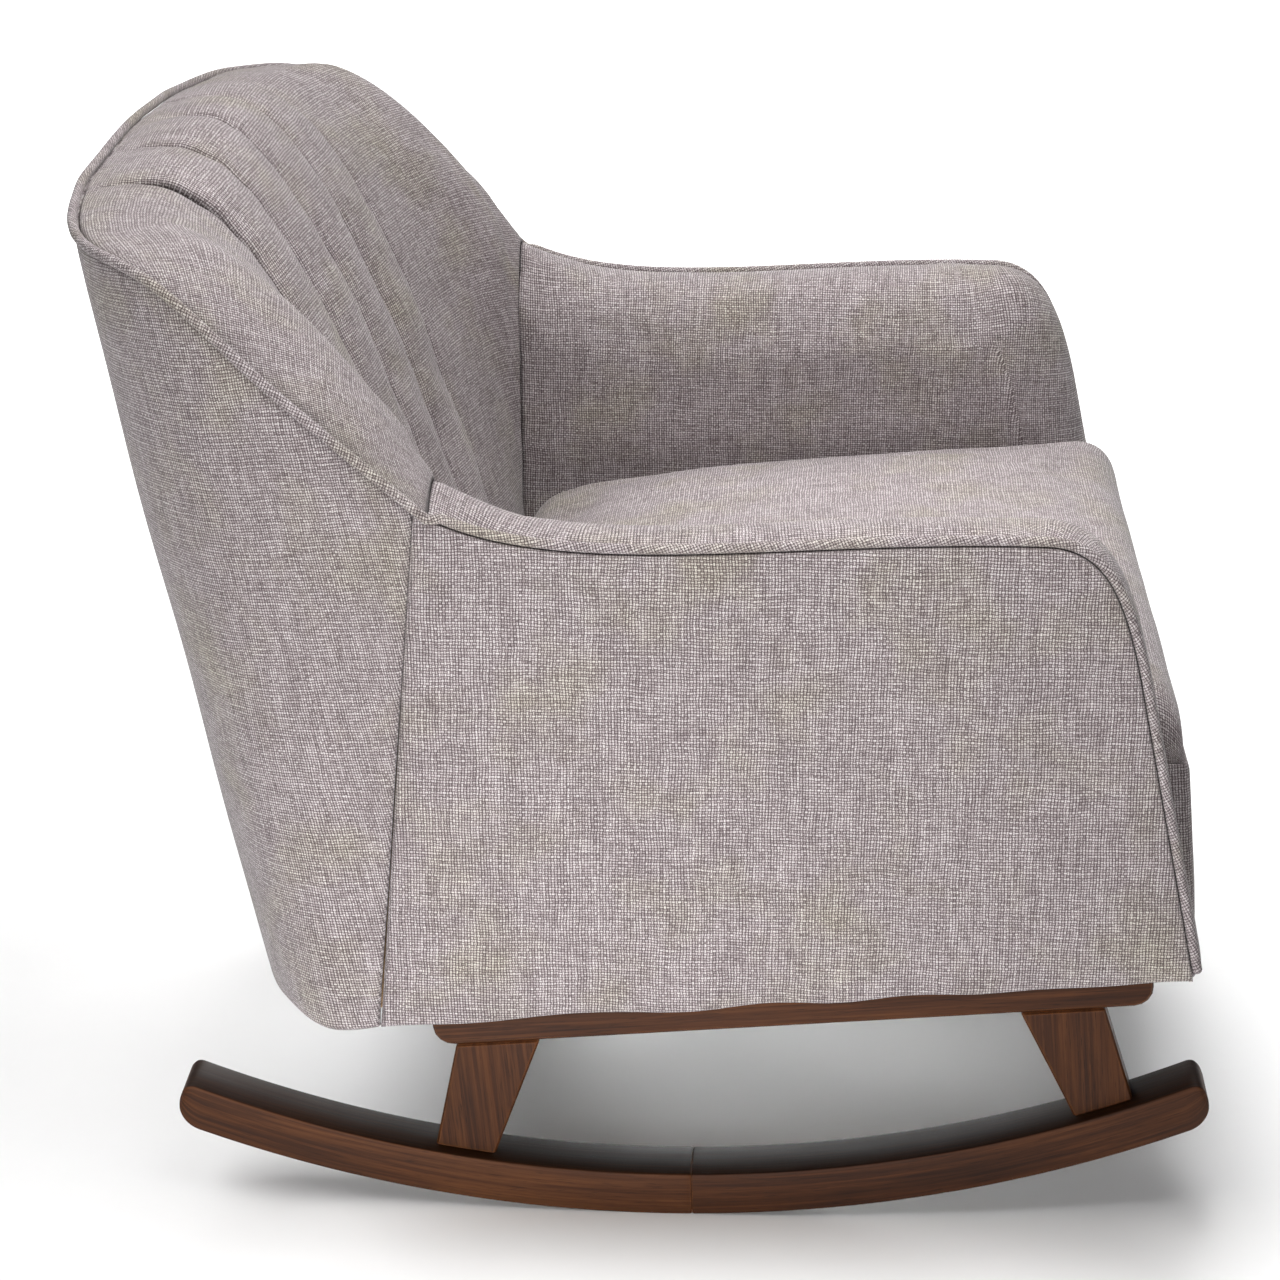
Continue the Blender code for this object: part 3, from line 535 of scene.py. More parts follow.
def rocker_half(side, end):
    """Half of a rocker from the joint in its middle to a rounded tip. end is 1 for the rear half."""
    joint = ROCKER_MIDDLE + end * 0.00018
    tip = ROCKER_MIDDLE + end * ROCKER_HALF_ANGLE
    low_round, high_round, eased = 0.021, 0.0075, 0.0004
    loops, grain = [], []
    inward = np.concatenate([[0.0, 0.0012], np.linspace(0.006, 0.34, 46)])
    reach = abs(tip - joint) * ROCKER_RADIUS
    inward = inward[inward < reach - low_round]
    body = [(joint + end * d / ROCKER_RADIUS, 0.0, ROCKER_THICK, 0.0) for d in inward]
    body[0] = (body[0][0], eased, ROCKER_THICK - eased, eased)
    for a in np.linspace(0, pi / 2, 14):
        along = reach - low_round * (1 - sin(a))
        rise = low_round * (1 - cos(a))
        past = max(0.0, along - (reach - high_round))
        fall = high_round - sqrt(max(high_round ** 2 - past ** 2, 0.0))
        side_in = max(0.0, 0.0025 - (reach - along)) * 0.7
        angle = joint + end * along / ROCKER_RADIUS
        body.append((angle, rise * 0.98, ROCKER_THICK - fall * 0.98, side_in))
    for angle, bottom, top, inset in body:
        loops.append(rocker_loop(angle, bottom, max(top, bottom + 0.0045), inset))
        grain.append(abs(angle - ROCKER_MIDDLE) * ROCKER_RADIUS)
    loops = np.array(loops)
    loops[:, :, 0] *= SIDES[side]
    around = lengths(np.concatenate([loops[0], loops[0][:1]]))
    seed = {"left": 0.0, "right": 3.1}[side] + (0.0 if end > 0 else 1.7)
    grid = np.concatenate([loops, loops[:, :1]], axis=1)
    uv = np.stack(np.broadcast_arrays(np.array(grain)[:, None] * end + seed, around[None, :] + seed), -1)
    name = "rocker_" + side + ("_rear" if end > 0 else "_front")
    inside = grid.reshape(-1, 3).mean(axis=0)
    inside[0] = SIDES[side] * (ROCKER_IN + ROCKER_OUT) / 2
    made = skin(name + "_wood", [(grid, uv)], inside)
    capped(made.data, lambda at: (at.x * 0.2 + seed, at.z))
    made.data.set_sharp_from_angle(angle=radians(50))
    finished(made, ROCKER_WOOD, [name])


for side in SIDES:
    for end in (1, -1):
        rocker_half(side, end)

# ---- back: channels and wings
# Key rows (station, x, y, z) over half the back: seams at stations 0, 1 and 2, the wing from 2 to 6.
WELT_LINE = (
    (0, 0, 0.388, 0.724), (1, 0.087, 0.388, 0.721), (2, 0.174, 0.387, 0.715), (3, 0.285, 0.363, 0.709),
    (4, 0.345, 0.305, 0.695), (5, 0.3562, 0.235, 0.633), (6, 0.3562, 0.139, 0.5495),
)
CREST_LINE = (
    (0, 0, 0.345, 0.729), (1, 0.087, 0.345, 0.726), (2, 0.174, 0.343, 0.72), (3, 0.255, 0.325, 0.714),
    (4, 0.312, 0.283, 0.705), (5, 0.33, 0.215, 0.648), (6, 0.332, 0.139, 0.561),
)
ROLL_LINE = (
    (0, 0, 0.286, 0.727), (1, 0.087, 0.285, 0.724), (2, 0.174, 0.28, 0.718), (3, 0.235, 0.262, 0.708),
    (4, 0.272, 0.225, 0.69), (5, 0.288, 0.18, 0.642), (6, 0.292, 0.139, 0.578),
)
WAIST_LINE = (
    (0, 0, 0.209, 0.519), (1, 0.087, 0.208, 0.518), (2, 0.174, 0.203, 0.515), (3, 0.225, 0.192, 0.505),
    (4, 0.256, 0.176, 0.493), (5, 0.275, 0.156, 0.48), (6, 0.284, 0.139, 0.465),
)
FOOT_LINE = (
    (0, 0, 0.15, 0.33), (1, 0.087, 0.149, 0.33), (2, 0.174, 0.146, 0.33), (3, 0.22, 0.143, 0.33),
    (4, 0.25, 0.141, 0.33), (5, 0.27, 0.139, 0.33), (6, 0.283, 0.139, 0.33),
)
PANEL_FOOT = (
    (0, 0, 0.278), (1, 0.09, 0.278), (2, 0.18, 0.276), (3, 0.26, 0.264), (4, 0.316, 0.242),
    (5, 0.35, 0.212), (6, 0.357, 0.1795),
)
ROWS_TO_WAIST = 30


def mirrored(keys, stations):
    """The line through the key rows at these stations, which are negative on the right side."""
    stations = np.asarray(stations, float)
    found = smooth(keys, np.abs(stations))
    found[:, 0] *= np.where(stations < 0, -1, 1)
    return found


def back_rows(stations):
    """The back's padded face without its channels, in rows from the foot up the front and over the crest
    to the welt. Also gives each row's share of the channels' depth."""
    foot, waist, roll, crest, welt = (
        mirrored(keys, stations) for keys in (FOOT_LINE, WAIST_LINE, ROLL_LINE, CREST_LINE, WELT_LINE)
    )
    rows, share = [], []
    for t in np.linspace(0, 1, ROWS_TO_WAIST, endpoint=False):
        rows.append(foot + (waist - foot) * t)
        share.append(1.0)
    for t in np.linspace(0, 1, 52):
        rows.append((1 - t) ** 2 * waist + 2 * t * (1 - t) * roll + t ** 2 * crest)
        share.append(np.interp(t, (0, 0.35, 0.75, 1.0), (1.0, 0.97, 0.84, 0.4)))
    for t in [*np.linspace(0, 0.9, 9)[1:], 0.945, 0.975, 1.0]:
        bulge = 0.0016 * sin(pi * t) ** 0.6 - 0.0022 * t ** 24
        rows.append(crest + (welt - crest) * t + np.array((0, 0, bulge)))
        share.append(0.4 * (1 - t) ** 1.5)
    return np.array(rows), np.array(share)


# Stations crowd towards each seam, so that its groove has a shape.
half_channel = np.array((0, 0.014, 0.035, 0.068, 0.115, 0.17, 0.23, 0.29, 0.35, 0.41, 0.47))
channel_marks = np.concatenate([half_channel, 1 - half_channel[::-1]])
wing_marks = np.concatenate([2 + half_channel[:6] * 0.8, np.linspace(2.19, 5.93, 60), [5.97, 6.0]])
stations = np.concatenate([
    -wing_marks[::-1][:-1], *(channel + channel_marks[:-1] for channel in (-2, -1, 0, 1)), wing_marks,
])
rows, share = back_rows(stations)
inside_channel = np.abs(stations) <= 2
fraction = np.where(inside_channel, stations - np.floor(stations), 0.0)
fraction[np.abs(stations - np.round(stations)) < 1e-9] = 0.0
puff = CHANNEL_PUFF * np.sin(pi * fraction) ** 0.55
wing_place = np.clip((np.abs(stations) - 2) / 4, 0, 1)
puff += np.where(inside_channel, 0.0, WING_PUFF * np.sin(pi * wing_place) ** 0.5)
face = rows + normals(rows) * (share[:, None] * puff[None, :])[:, :, None]
across = np.array([lengths(row[:, :2]) for row in rows])
across -= across[:, len(stations) // 2][:, None]
upward = np.array([lengths(column) for column in rows.swapaxes(0, 1)]).T
back_uv = np.stack([across, upward], -1)
back = skin("inside_back_channels", [(face, back_uv)], (0.0, 0.5, 0.45))
seam = (np.abs(stations - np.round(stations)) < 1e-9) & (np.abs(stations) <= 2)
held = np.zeros(face.shape[:2])
held[:, seam] = 1.0
held[:2] = held[-2:] = 1.0
held[:, :2] = held[:, -2:] = 1.0
swell(back, held.ravel() > 0, 0.006, slack=0.01)
current = positions(back.data).reshape(face.shape)
outward = normals(current)
outward *= np.sign((outward * normals(rows)).sum(axis=2))[:, :, None]
near_seam = np.abs(stations[:, None] - np.arange(-2, 3)).min(axis=1) * CHANNEL_WIDTH
near_end = (6 - np.abs(stations)) * WING_STEP
groove = -0.006 * np.exp(-near_seam / 0.0024)[None, :] * np.clip(share * 1.8, 0, 1)[:, None]
groove = groove - 0.0012 * np.exp(-(near_end / 0.0014) ** 2)[None, :]
pucker = 0.0009 * np.exp(-(near_seam / 0.012))[None, :] * waves(across * 0.5, upward, 0.03, 5)
soft = 0.0011 * waves(across, upward, 0.11, 8)
calm = (1 - held) * np.clip(share, 0, 1)[:, None]
current += outward * (groove + (pucker + soft) * calm)[:, :, None]
put(back.data, current.reshape(-1, 3))
# painted shade: darkens the fabric along the channel seams and at the wing ends, where shade falls in the
# grooves
seam_painted_shade = np.exp(-near_seam / 0.0021)[None, :] * np.clip(share * 2.2, 0, 1)[:, None]
seam_painted_shade = np.maximum(seam_painted_shade, np.exp(-near_end / 0.0012)[None, :] * 0.8)
back.data.attributes.new("seam_painted_shade", "FLOAT", "POINT").data.foreach_set("value", seam_painted_shade.reshape(-1))
thickened(back, FABRIC)
finished(back, FABRIC_MAT, ["inside_back_cover"])

# ---- arms
# A rear seam's top (y, z), and its foot's y.
COVER_SEAM = (0.138, 0.548), 0.138
PANEL_SEAM = (0.148, 0.556), 0.179
FRONT_FOOT = -0.358
FRONT_CORNER = (-0.312, 0.45), (-0.252, 0.537)
FRONT_COLUMNS, TOP_COLUMNS = 58, 92
EASING = 450     # smoothing passes for each metre that a loop is drawn in


def arm_outline(seam):
    """Side view of an arm from its front foot over the top to a rear seam, ending at the seam's foot.
    Also gives the number of points before that foot."""
    low, high = FRONT_CORNER
    start = (FRONT_FOOT, tilted_height(FRONT_FOOT, BOX_BOTTOM))
    corner = bezier(low, (-0.299, 0.506), (-0.285, 0.535), high, 80)
    top = bezier(high, (-0.1, 0.54), (0.052, 0.507), COVER_SEAM[0], 120)
    front = np.concatenate([[start], corner[:41]])
    marks = np.array((0, 0.003, 0.0046, 0.0066, 0.009, 0.012))
    marks = np.concatenate([marks, np.linspace(0.015, lengths(front)[-1], FRONT_COLUMNS - len(marks))])
    front = at_marks(front, marks)
    beyond = [seam[0]] if seam[0] != COVER_SEAM[0] else np.zeros((0, 2))
    over = resampled(np.concatenate([corner[40:], top[1:], beyond]), TOP_COLUMNS)
    foot = (seam[1], tilted_height(seam[1], BOX_BOTTOM))
    return np.concatenate([front, over[1:], [foot]]), len(front) + len(over) - 1


def drawn_in(outline, free, inset, all_round=0.0):
    """The outline moved inwards by inset along its top and front, and by all_round everywhere."""
    along = np.roll(outline, -1, 0) - outline
    along /= np.linalg.norm(along, axis=1)[:, None]
    inward = np.stack([along[:, 1], -along[:, 0]], axis=1)
    amounts = np.full(len(outline), all_round)
    amounts[:free - 1] += inset
    moves = []
    for i in range(len(outline)):
        lines = inward[[i - 1, i]]
        if abs(np.linalg.det(lines)) < 2e-2:
            moves.append(inward[i] * amounts[i])
        else:
            moves.append(np.linalg.solve(lines, amounts[[i - 1, i]]))
    return outline + np.array(moves)


def filled(edge, foot):
    """Flat grid inside an arm outline. edge runs from the front foot over the top to the rear seam."""
    front, top = edge[:FRONT_COLUMNS], edge[FRONT_COLUMNS - 1:]
    rise = lengths(front) / lengths(front)[-1]
    reach = lengths(top) / lengths(top)[-1]
    s, t = reach[:, None, None], rise[None, :, None]
    rear = foot + (top[-1] - foot) * rise[:, None]
    base = front[0] + (foot - front[0]) * reach[:, None]
    grid = (1 - s) * front[None] + s * rear[None] + (1 - t) * base[:, None] + t * top[:, None]
    return grid - (
        (1 - s) * (1 - t) * front[0] + s * (1 - t) * foot + (1 - s) * t * top[0] + s * t * top[-1]
    )


# Section over the top of an arm, from the welt to the inner face: (distance inwards, drop).
ARM_PROFILE = (
    (0.0000, 0.0000), (0.007, -0.0045), (0.022, -0.0085), (0.038, -0.007),
    (0.053, 0.0005), (0.064, 0.012), (0.07, 0.026), (ARM_OUT - ARM_INNER, 0.044),
)
run = lengths(np.array(ARM_PROFILE))
profile = smooth(np.column_stack([run, ARM_PROFILE]), np.linspace(0, run[-1], 30), 0)
profile_at = lengths(profile)


def smoothstep(t):
    """Eases from 0 to 1 as t does."""
    t = np.clip(t, 0, 1)
    return t * t * (3 - 2 * t)


def wing_section():
    """The end of the wing where it meets the arm, from its waist over the crest to the welt."""
    section = back_rows([6.0])[0][ROWS_TO_WAIST:, 0]
    return section[np.argsort(section[:, 0], kind="stable")]


def arm_cover(side):
    """One arm's top, front edge and inner face, as one padded piece."""
    sign = SIDES[side]
    outline, free = arm_outline(COVER_SEAM)
    wing_end = wing_section()
    rise = smoothstep((outline[:free, 0] - 0.07) / (COVER_SEAM[0][0] - 0.07))

    def drawn(inset):
        """The cover's outline drawn in, its points kept beside each other where it meets the wing."""
        loop = drawn_in(outline, free, inset)[:free]
        for _ in range(int(max(inset, 0) * EASING)):
            loop[1:-1] = (loop[:-2] + 2 * loop[1:-1] + loop[2:]) / 4
        loop[:, 0] += (outline[:free, 0] - loop[:, 0]) * rise
        return loop

    inner = drawn(profile[-1][1])
    along = np.gradient(inner, axis=0)
    outward = np.stack([-along[:, 1], along[:, 0]], axis=1) / np.linalg.norm(along, axis=1)[:, None]
    for _ in range(80):
        outward[1:-1] = (outward[:-2] + 2 * outward[1:-1] + outward[2:]) / 4
    strip, weave = [], []
    for (depth, inset), at in zip(profile, profile_at):
        loop = drawn(inset)
        lift = np.interp(ARM_OUT - depth, wing_end[:, 0], wing_end[:, 2]) - loop[-1, 1]
        loop[:, 1] += np.clip(lift, 0, 0.02) * rise
        strip.append(np.column_stack([np.full(free, sign * (ARM_OUT - depth)), loop]))
        weave.append(inner + outward * (profile_at[-1] - at))
    patch = filled(inner, outline[free])
    patch = np.concatenate([np.full((*patch.shape[:2], 1), sign * ARM_INNER), patch], axis=2)
    patches = (np.array(strip), np.array(weave)), (patch, patch[:, :, 1:])
    made = skin("arm_upholstery_" + side, patches, (sign * 0.33, -0.08, 0.36))
    before = positions(made.data) - ORIGIN
    x, y, z = np.abs(before[:, 0]), before[:, 1], before[:, 2]
    low = z - tilted_height(y, BOX_BOTTOM)
    held = (x > ARM_OUT - 0.0012) | (y > 0.137) | (low < 0.004)
    swell(made, held, 0.005, slack=0.006)
    move = positions(made.data) - ORIGIN - before
    free_part = np.clip((z - tilted_height(y, SEAT_TOP) + 0.012) / 0.03, 0, 1)
    free_part = np.where(x < 0.3, free_part, 1.0) * (1 - held)
    ripple = 0.001 * waves(y, z + x, 0.13, 21 if sign > 0 else 22) * free_part
    now = before + move * free_part[:, None]
    now[:, 0] -= sign * ripple
    tuck = 0.0014 * np.exp(-(COVER_SEAM[1] - y) / 0.0012)
    tuck += np.minimum(rolled_under(low, 0.0055), 0.003)
    now -= tuck[:, None] * facing(made.data)
    now[:, 1] = np.where(y > COVER_SEAM[1] - 0.0008, COVER_SEAM[1] + 0.0014, now[:, 1])
    inner_face = (x < ARM_INNER + 0.016) & ~held
    now = evened(made.data, now, 12, ~inner_face)
    put(made.data, now + ORIGIN)
    thickened(made, FABRIC * 0.9)
    finished(made, FABRIC_MAT, ["arm_cover_" + side])


def outside_arm_panel(side):
    """One flat outer panel with its edge rolled in."""
    sign = SIDES[side]
    outline, free = arm_outline(PANEL_SEAM)
    loops, weave = [], []
    roll, proud = 0.0017, 0.0001
    rounded = [(roll * (1 - cos(a)) - proud, roll * (1 - sin(a))) for a in np.linspace(0, pi / 2, 6)]
    for inset, depth in [(-proud, 0.005)] + rounded:
        loop = drawn_in(outline, free, 0.0, inset)
        loops.append(np.column_stack([np.full(len(loop), sign * (HALF_WIDTH - depth)), loop]))
        weave.append(drawn_in(outline, free, 0.0, inset - depth))
    patch = filled(loop[:free], loop[free])
    flat = np.concatenate([np.full((*patch.shape[:2], 1), sign * HALF_WIDTH), patch], axis=2)
    patches = (np.array(loops), np.array(weave)), (flat, patch)
    made = skin("outside_arm_" + side, patches, (0.0, -0.08, 0.36))
    now = positions(made.data) - ORIGIN
    y, z = now[:, 1], now[:, 2]
    distance = np.full(len(now), 1.0)
    closed = np.concatenate([outline, outline[:1]])
    for a, b in zip(closed[:-1], closed[1:]):
        span = b - a
        t = np.clip(((now[:, 1:] - a) @ span) / (span @ span), 0, 1)
        distance = np.minimum(distance, np.linalg.norm(now[:, 1:] - (a + t[:, None] * span), axis=1))
    pillow = 0.0026 * (1 - np.exp(-distance / 0.022))
    pillow += 0.0008 * waves(y, z, 0.16, 31 if sign > 0 else 32) * np.clip(distance / 0.03, 0, 1)
    height = z - tilted_height(y, BOX_BOTTOM)
    now[:, 0] += sign * (pillow - np.minimum(rolled_under(height, 0.0055), 0.003))
    now[:, 2] += np.exp(-height / 0.02) * 0.002 * waves(y, y * 0, 0.1, 41)
    put(made.data, now + ORIGIN)
    thickened(made, 0.003)
    finished(made, FABRIC_MAT, ["outside_arm_panel_" + side])


for side in SIDES:
    arm_cover(side)
    outside_arm_panel(side)


# ---- outside back
def outside_back():
    """The plain panel behind, which wraps round both rear corners to the arm panels."""
    side = np.concatenate([np.linspace(2, 5.96, 68), (5.975, 5.985, 5.993, 6.0)])
    turns = np.concatenate([-side[::-1], np.linspace(-2, 2, 66)[1:-1], side])
    top_keys = (*WELT_LINE[:-1], (6, 0.3562, *PANEL_SEAM[0]))
    top = mirrored(top_keys, turns)
    foot = mirrored([(*key, 0.0) for key in PANEL_FOOT], turns)
    foot[:, 2] = tilted_height(foot[:, 1], BOX_BOTTOM)
    last = 1 - np.array((16, 11, 8, 5, 3, 1, 0)) / 1000
    levels = np.concatenate([[0.004, 0.01, 0.018], np.linspace(0.03, 0.97, 70), last])
    rows = np.array([top + (foot - top) * t for t in levels])
    along = np.gradient(rows, axis=1)
    away = np.stack([along[:, :, 1], -along[:, :, 0], along[:, :, 0] * 0], axis=2)
    away /= -np.linalg.norm(away, axis=2)[:, :, None]
    run = lengths(rows[len(rows) // 2])
    run -= run[len(run) // 2]
    fall = -lengths(rows[:, len(turns) // 2])
    from_top, from_foot = -fall, fall - fall[-1]
    from_side = np.minimum(run - run[0], run[-1] - run)
    bulge = 0.003 * (1 - np.exp(-from_top / 0.03))[:, None] * (1 - np.exp(-from_foot / 0.03))[:, None]
    bulge = bulge + 0.0012 * waves(run[None, :], fall[:, None], 0.19, 51)
    tuck = np.minimum(rolled_under(from_foot, 0.006), 0.0035)[:, None]
    tuck = tuck + 0.0048 * np.exp(-from_side / 0.0013)[None, :]
    tuck = tuck + 0.0016 * np.exp(-from_top / 0.003)[:, None]
    face = rows + away * (HALF_WIDTH - ARM_OUT + bulge - tuck)[:, :, None]
    hem = 0.002 * waves(run, run * 0, 0.1, 52)
    face[:, :, 2] += np.exp(-from_foot / 0.02)[:, None] * hem[None, :]
    level = np.array([lengths(row[:, :2]) for row in rows])
    level -= level[:, level.shape[1] // 2][:, None]
    climb = np.array([lengths(column[::-1])[::-1] for column in rows.swapaxes(0, 1)]).T
    uv = np.stack([level, climb], -1)
    made = skin("outside_back", [(face, uv)], (0.0, 0.0, 0.45))
    thickened(made, 0.0028)
    finished(made, FABRIC_MAT, ["outside_back_panel"])


outside_back()


# ---- welt
def tube(name, path, radius, sides=12):
    """A round cord along a path, with weave coordinates along and round it."""
    ways = np.gradient(path, axis=0)
    ways /= np.linalg.norm(ways, axis=1)[:, None]
    across = np.cross(ways[0], (1, 0, 0) if abs(ways[0][0]) < 0.9 else (0, 0, 1))
    turned = np.linspace(0, 2 * pi, sides + 1)
    loops = []
    for at, way in zip(path, ways):
        across = across - way * np.dot(across, way)
        across /= np.linalg.norm(across)
        other = np.cross(way, across)
        loops.append(at + radius * (np.cos(turned)[:, None] * across + np.sin(turned)[:, None] * other))
    uv = np.stack(np.broadcast_arrays(lengths(path)[:, None], (turned * radius)[None, :]), -1)
    grid = np.array(loops)
    made = skin(name, [(grid, uv)], grid.reshape(-1, 3).mean(axis=0))
    capped(made.data)
    return made


outline, free = arm_outline(COVER_SEAM)
edge = drawn_in(outline, free, -(WELT_RADIUS + 0.0006))[:free - 1]
wing = np.linspace(2, 6, 80)
places = np.concatenate([-wing[::-1], np.linspace(-2, 2, 50)[1:-1], wing])
over_rows, _ = back_rows(places)
proud = WELT_RADIUS + 0.0003 + 0.0009 * smoothstep((np.abs(places) - 4.2) / 0.5)
over = (over_rows + normals(over_rows) * proud[None, :, None])[-1]
over[:, 1] += 0.0012
cord_x = 0.3572     # the welt's middle to the chair's middle plane
tucked = [(0.014, 0.005, 0.0085), (0.006, 0.001, 0.006)]
path = [(inward - cord_x, edge[0][0] + back_by, edge[0][1] + up) for inward, back_by, up in tucked]
path += [(-cord_x, y, z) for y, z in edge[4:]]
path += [tuple(point) for point in over] + [(-x, y, z) for x, y, z in path[::-1]]
path = resampled(np.array(path), 520)
finished(tube("welt_piping", path, WELT_RADIUS), BIAS_MAT, ["welt_cord"])


# ---- seat
def seat_run(half, count, rounding, rear_length=0.0, rear_drop=0.0):
    """(position, drop) pairs: level in the middle, rounded over and straight down at both ends.
    The last stretch of rear_length also slopes away by rear_drop."""
    level = np.linspace(0, half - rounding, count)
    turn = np.linspace(0, pi / 2, 12)[1:]
    side = [(x, 0.0) for x in level]
    side += [(half - rounding + rounding * sin(a), rounding * (1 - cos(a))) for a in turn]
    side += [(half, rounding + drop) for drop in (0.004, 0.01, 0.018, 0.03, 0.045, 0.08)]
    run = [(-x, drop) for x, drop in side[:0:-1]] + side
    if rear_drop:
        run = [(x, drop + rear_drop * max(0.0, (x - half) / rear_length + 1) ** 2) for x, drop in run]
    return run


def seat():
    """The seat's foam block and the crowned cover over it."""
    half_depth, middle = (SEAT_REAR - SEAT_FRONT) / 2, (SEAT_REAR + SEAT_FRONT) / 2
    across = seat_run(SEAT_HALF - 0.0006, 44, SEAT_ROUND)
    along = seat_run(half_depth, 36, SEAT_ROUND, 0.16, 0.016)
    grid = np.zeros((len(along), len(across), 3))
    for i, (q, q_drop) in enumerate(along):
        for j, (x, x_drop) in enumerate(across):
            dome = (1 - (x / SEAT_HALF) ** 2) * (1 - (q / half_depth) ** 2)
            h = max(SEAT_TOP + SEAT_CROWN * dome - x_drop - q_drop, SEAT_EDGE)
            grid[i, j] = (x, *tilted(middle + q, h))
    for axis in (0, 1):
        steps = np.abs(np.diff(grid, axis=axis)).max(axis=(1 - axis, 2))
        grid = grid.compress(np.concatenate([[True], steps > 1e-6]), axis=axis)
    u, v = lengths(grid[grid.shape[0] // 2]), lengths(grid[:, grid.shape[1] // 2])
    uv = np.stack(np.broadcast_arrays(u[None, :], v[:, None]), -1)
    x, y, z = grid.transpose(2, 0, 1)
    q, h = untilted(y, z)
    foam_q = middle + (q - middle) * 0.975
    foam_h = (SEAT_EDGE + (h - SEAT_EDGE) * 0.93, SEAT_EDGE)
    top, base = (np.stack([x * 0.98, *tilted(foam_q, at)], -1) for at in foam_h)
    block = skin("seat_foam_block", [(top, uv), (base, uv)], (0.0, -0.13, 0.33))
    finished(block, FOAM_MAT, ["seat_foam"])
    made = skin("seat_cushion", [(grid, uv)], (0.0, -0.13, 0.3))
    before = positions(made.data) - ORIGIN
    x, y, z = before.T
    q, h = untilted(y, z)
    held = h < SEAT_EDGE + 0.0015
    swell(made, held, 0.006, slack=0.004)
    move = positions(made.data) - ORIGIN - before
    move[:, 0] *= np.clip((SEAT_HALF - np.abs(x) - 0.006) / 0.03, 0, 1)
    rear = np.clip((SEAT_REAR - q - 0.004) / 0.04, 0, 1)
    move[:, 2] += 0.0012 * waves(x, q, 0.15, 61) * np.clip((h - SEAT_EDGE) / 0.03, 0, 1) * rear
    move *= np.where(q > 0, rear, 1.0)[:, None]
    put(made.data, before + move * (1 - held)[:, None] + ORIGIN)
    thickened(made, FABRIC * 0.9)
    finished(made, FABRIC_MAT, ["seat_cover"])


def front_border():
    """The panel under the seat's front edge, which turns back beside the arms."""
    low, high = BOX_BOTTOM, SEAT_EDGE - 0.0004
    x = np.concatenate([[-1, -0.994, -0.985], np.linspace(-0.97, 0.97, 90), [0.985, 0.994, 1]])
    x = x * SEAT_HALF
    h = np.concatenate([[0, 0.008, 0.02], np.linspace(0.05, 0.94, 24), [0.97, 0.988, 1.0]])
    h = h * (high - low) + low
    edge = np.minimum((SEAT_HALF - np.abs(x))[None, :], np.minimum(h - low, high - h)[:, None])
    out = 0.0035 * (1 - np.exp(-edge / 0.0018)) + 0.003 * (1 - np.exp(-edge / 0.03))
    out = out + 0.0008 * waves(x[None, :], h[:, None], 0.12, 71) * np.clip(edge / 0.02, 0, 1)
    out = out - np.minimum(rolled_under(h - low, 0.007), 0.005)[:, None]
    returns = np.array((-0.01, -0.026, -0.05, -0.085))
    beside = np.full(len(returns), SEAT_HALF + 0.0003)
    x = np.concatenate([-beside, x, beside])
    side = np.tile(returns, (len(h), 1))
    out = np.concatenate([side[:, ::-1], out, side], axis=1)
    grid = np.zeros((len(h), len(x), 3))
    for i, height in enumerate(h):
        grid[i] = np.column_stack([x, *tilted(SEAT_FRONT - out[i], np.full(len(x), height))])
    run = lengths(grid[len(h) // 2])
    uv = np.stack(np.broadcast_arrays((run - run[len(run) // 2])[None, :], h[:, None]), -1)
    made = skin("front_border_panel", [(grid, uv)], (0.0, 0.0, 0.27))
    thickened(made, 0.0025)
    finished(made, FABRIC_MAT, ["front_border"])


seat()
front_border()


# ---- foam under the covers
def foam(node):
    """The foam piece inside a cover: its solid remeshed finely and softened."""
    made = linked(node + "_foam", nodes[node].data.copy())
    remesh = made.modifiers.new("remesh", "REMESH")
    remesh.mode, remesh.voxel_size = "VOXEL", 0.008
    relax = made.modifiers.new("relax", "SMOOTH")
    relax.factor, relax.iterations = 0.5, 4
    graph = bpy.context.evaluated_depsgraph_get()
    mesh = bpy.data.meshes.new_from_object(made.evaluated_get(graph))
    made.modifiers.clear()
    made.data = mesh
    if node.startswith("arm_pad"):
        at = positions(mesh)
        at[:, 2] -= 0.008 * smoothstep((at[:, 2] - 0.42) / 0.08)
        put(mesh, at)
    mesh.shade_smooth()
    finished(made, FOAM_MAT, [node])


for node in sorted(nodes):
    if node.startswith(("arm_pad", "wing_pad", "back_channel_pad")):
        foam(node)


# ---- dust cloth
def dust_cloth():
    """The cloth stretched under the seat frame, with its rear corners cut off."""
    half, front, cut, rear, rear_half = SEAT_HALF, -0.38, 0.19, 0.245, 0.23
    depth = np.concatenate([np.linspace(front, cut, 50), np.linspace(cut, rear, 8)[1:]])
    rows = []
    for q in depth:
        width = half if q < cut else half - (q - cut) / (rear - cut) * (half - rear_half)
        x = np.linspace(-width, width, 48)
        sag = 0.003 * (1 - (x / width) ** 2) * sin(pi * (q - front) / (rear - front))
        y, z = tilted(q, 0.2054 - sag)
        rows.append(np.column_stack([x, y, z]))
    grid = np.array(rows)
    made = skin("dust_cloth_sheet", [(grid, grid[:, :, :2])], (0.0, -0.07, 0.5))
    finished(made, CLOTH_MAT, ["dust_cloth"])


dust_cloth()

# ---- floor, light, camera
floor_mesh = bpy.data.meshes.new("floor")
floor_mesh.from_pydata([(-9, -9, 0), (9, -9, 0), (9, 9, 0), (-9, 9, 0)], [], [(0, 1, 2, 3)])
floor = linked("floor", floor_mesh)
floor_mat = plain("pale_floor", (0.9, 0.9, 0.9), (0.93, 0.93, 0.93), 6.0, (0.55, 0.7), 0.0)
floor_mesh.materials.append(floor_mat)

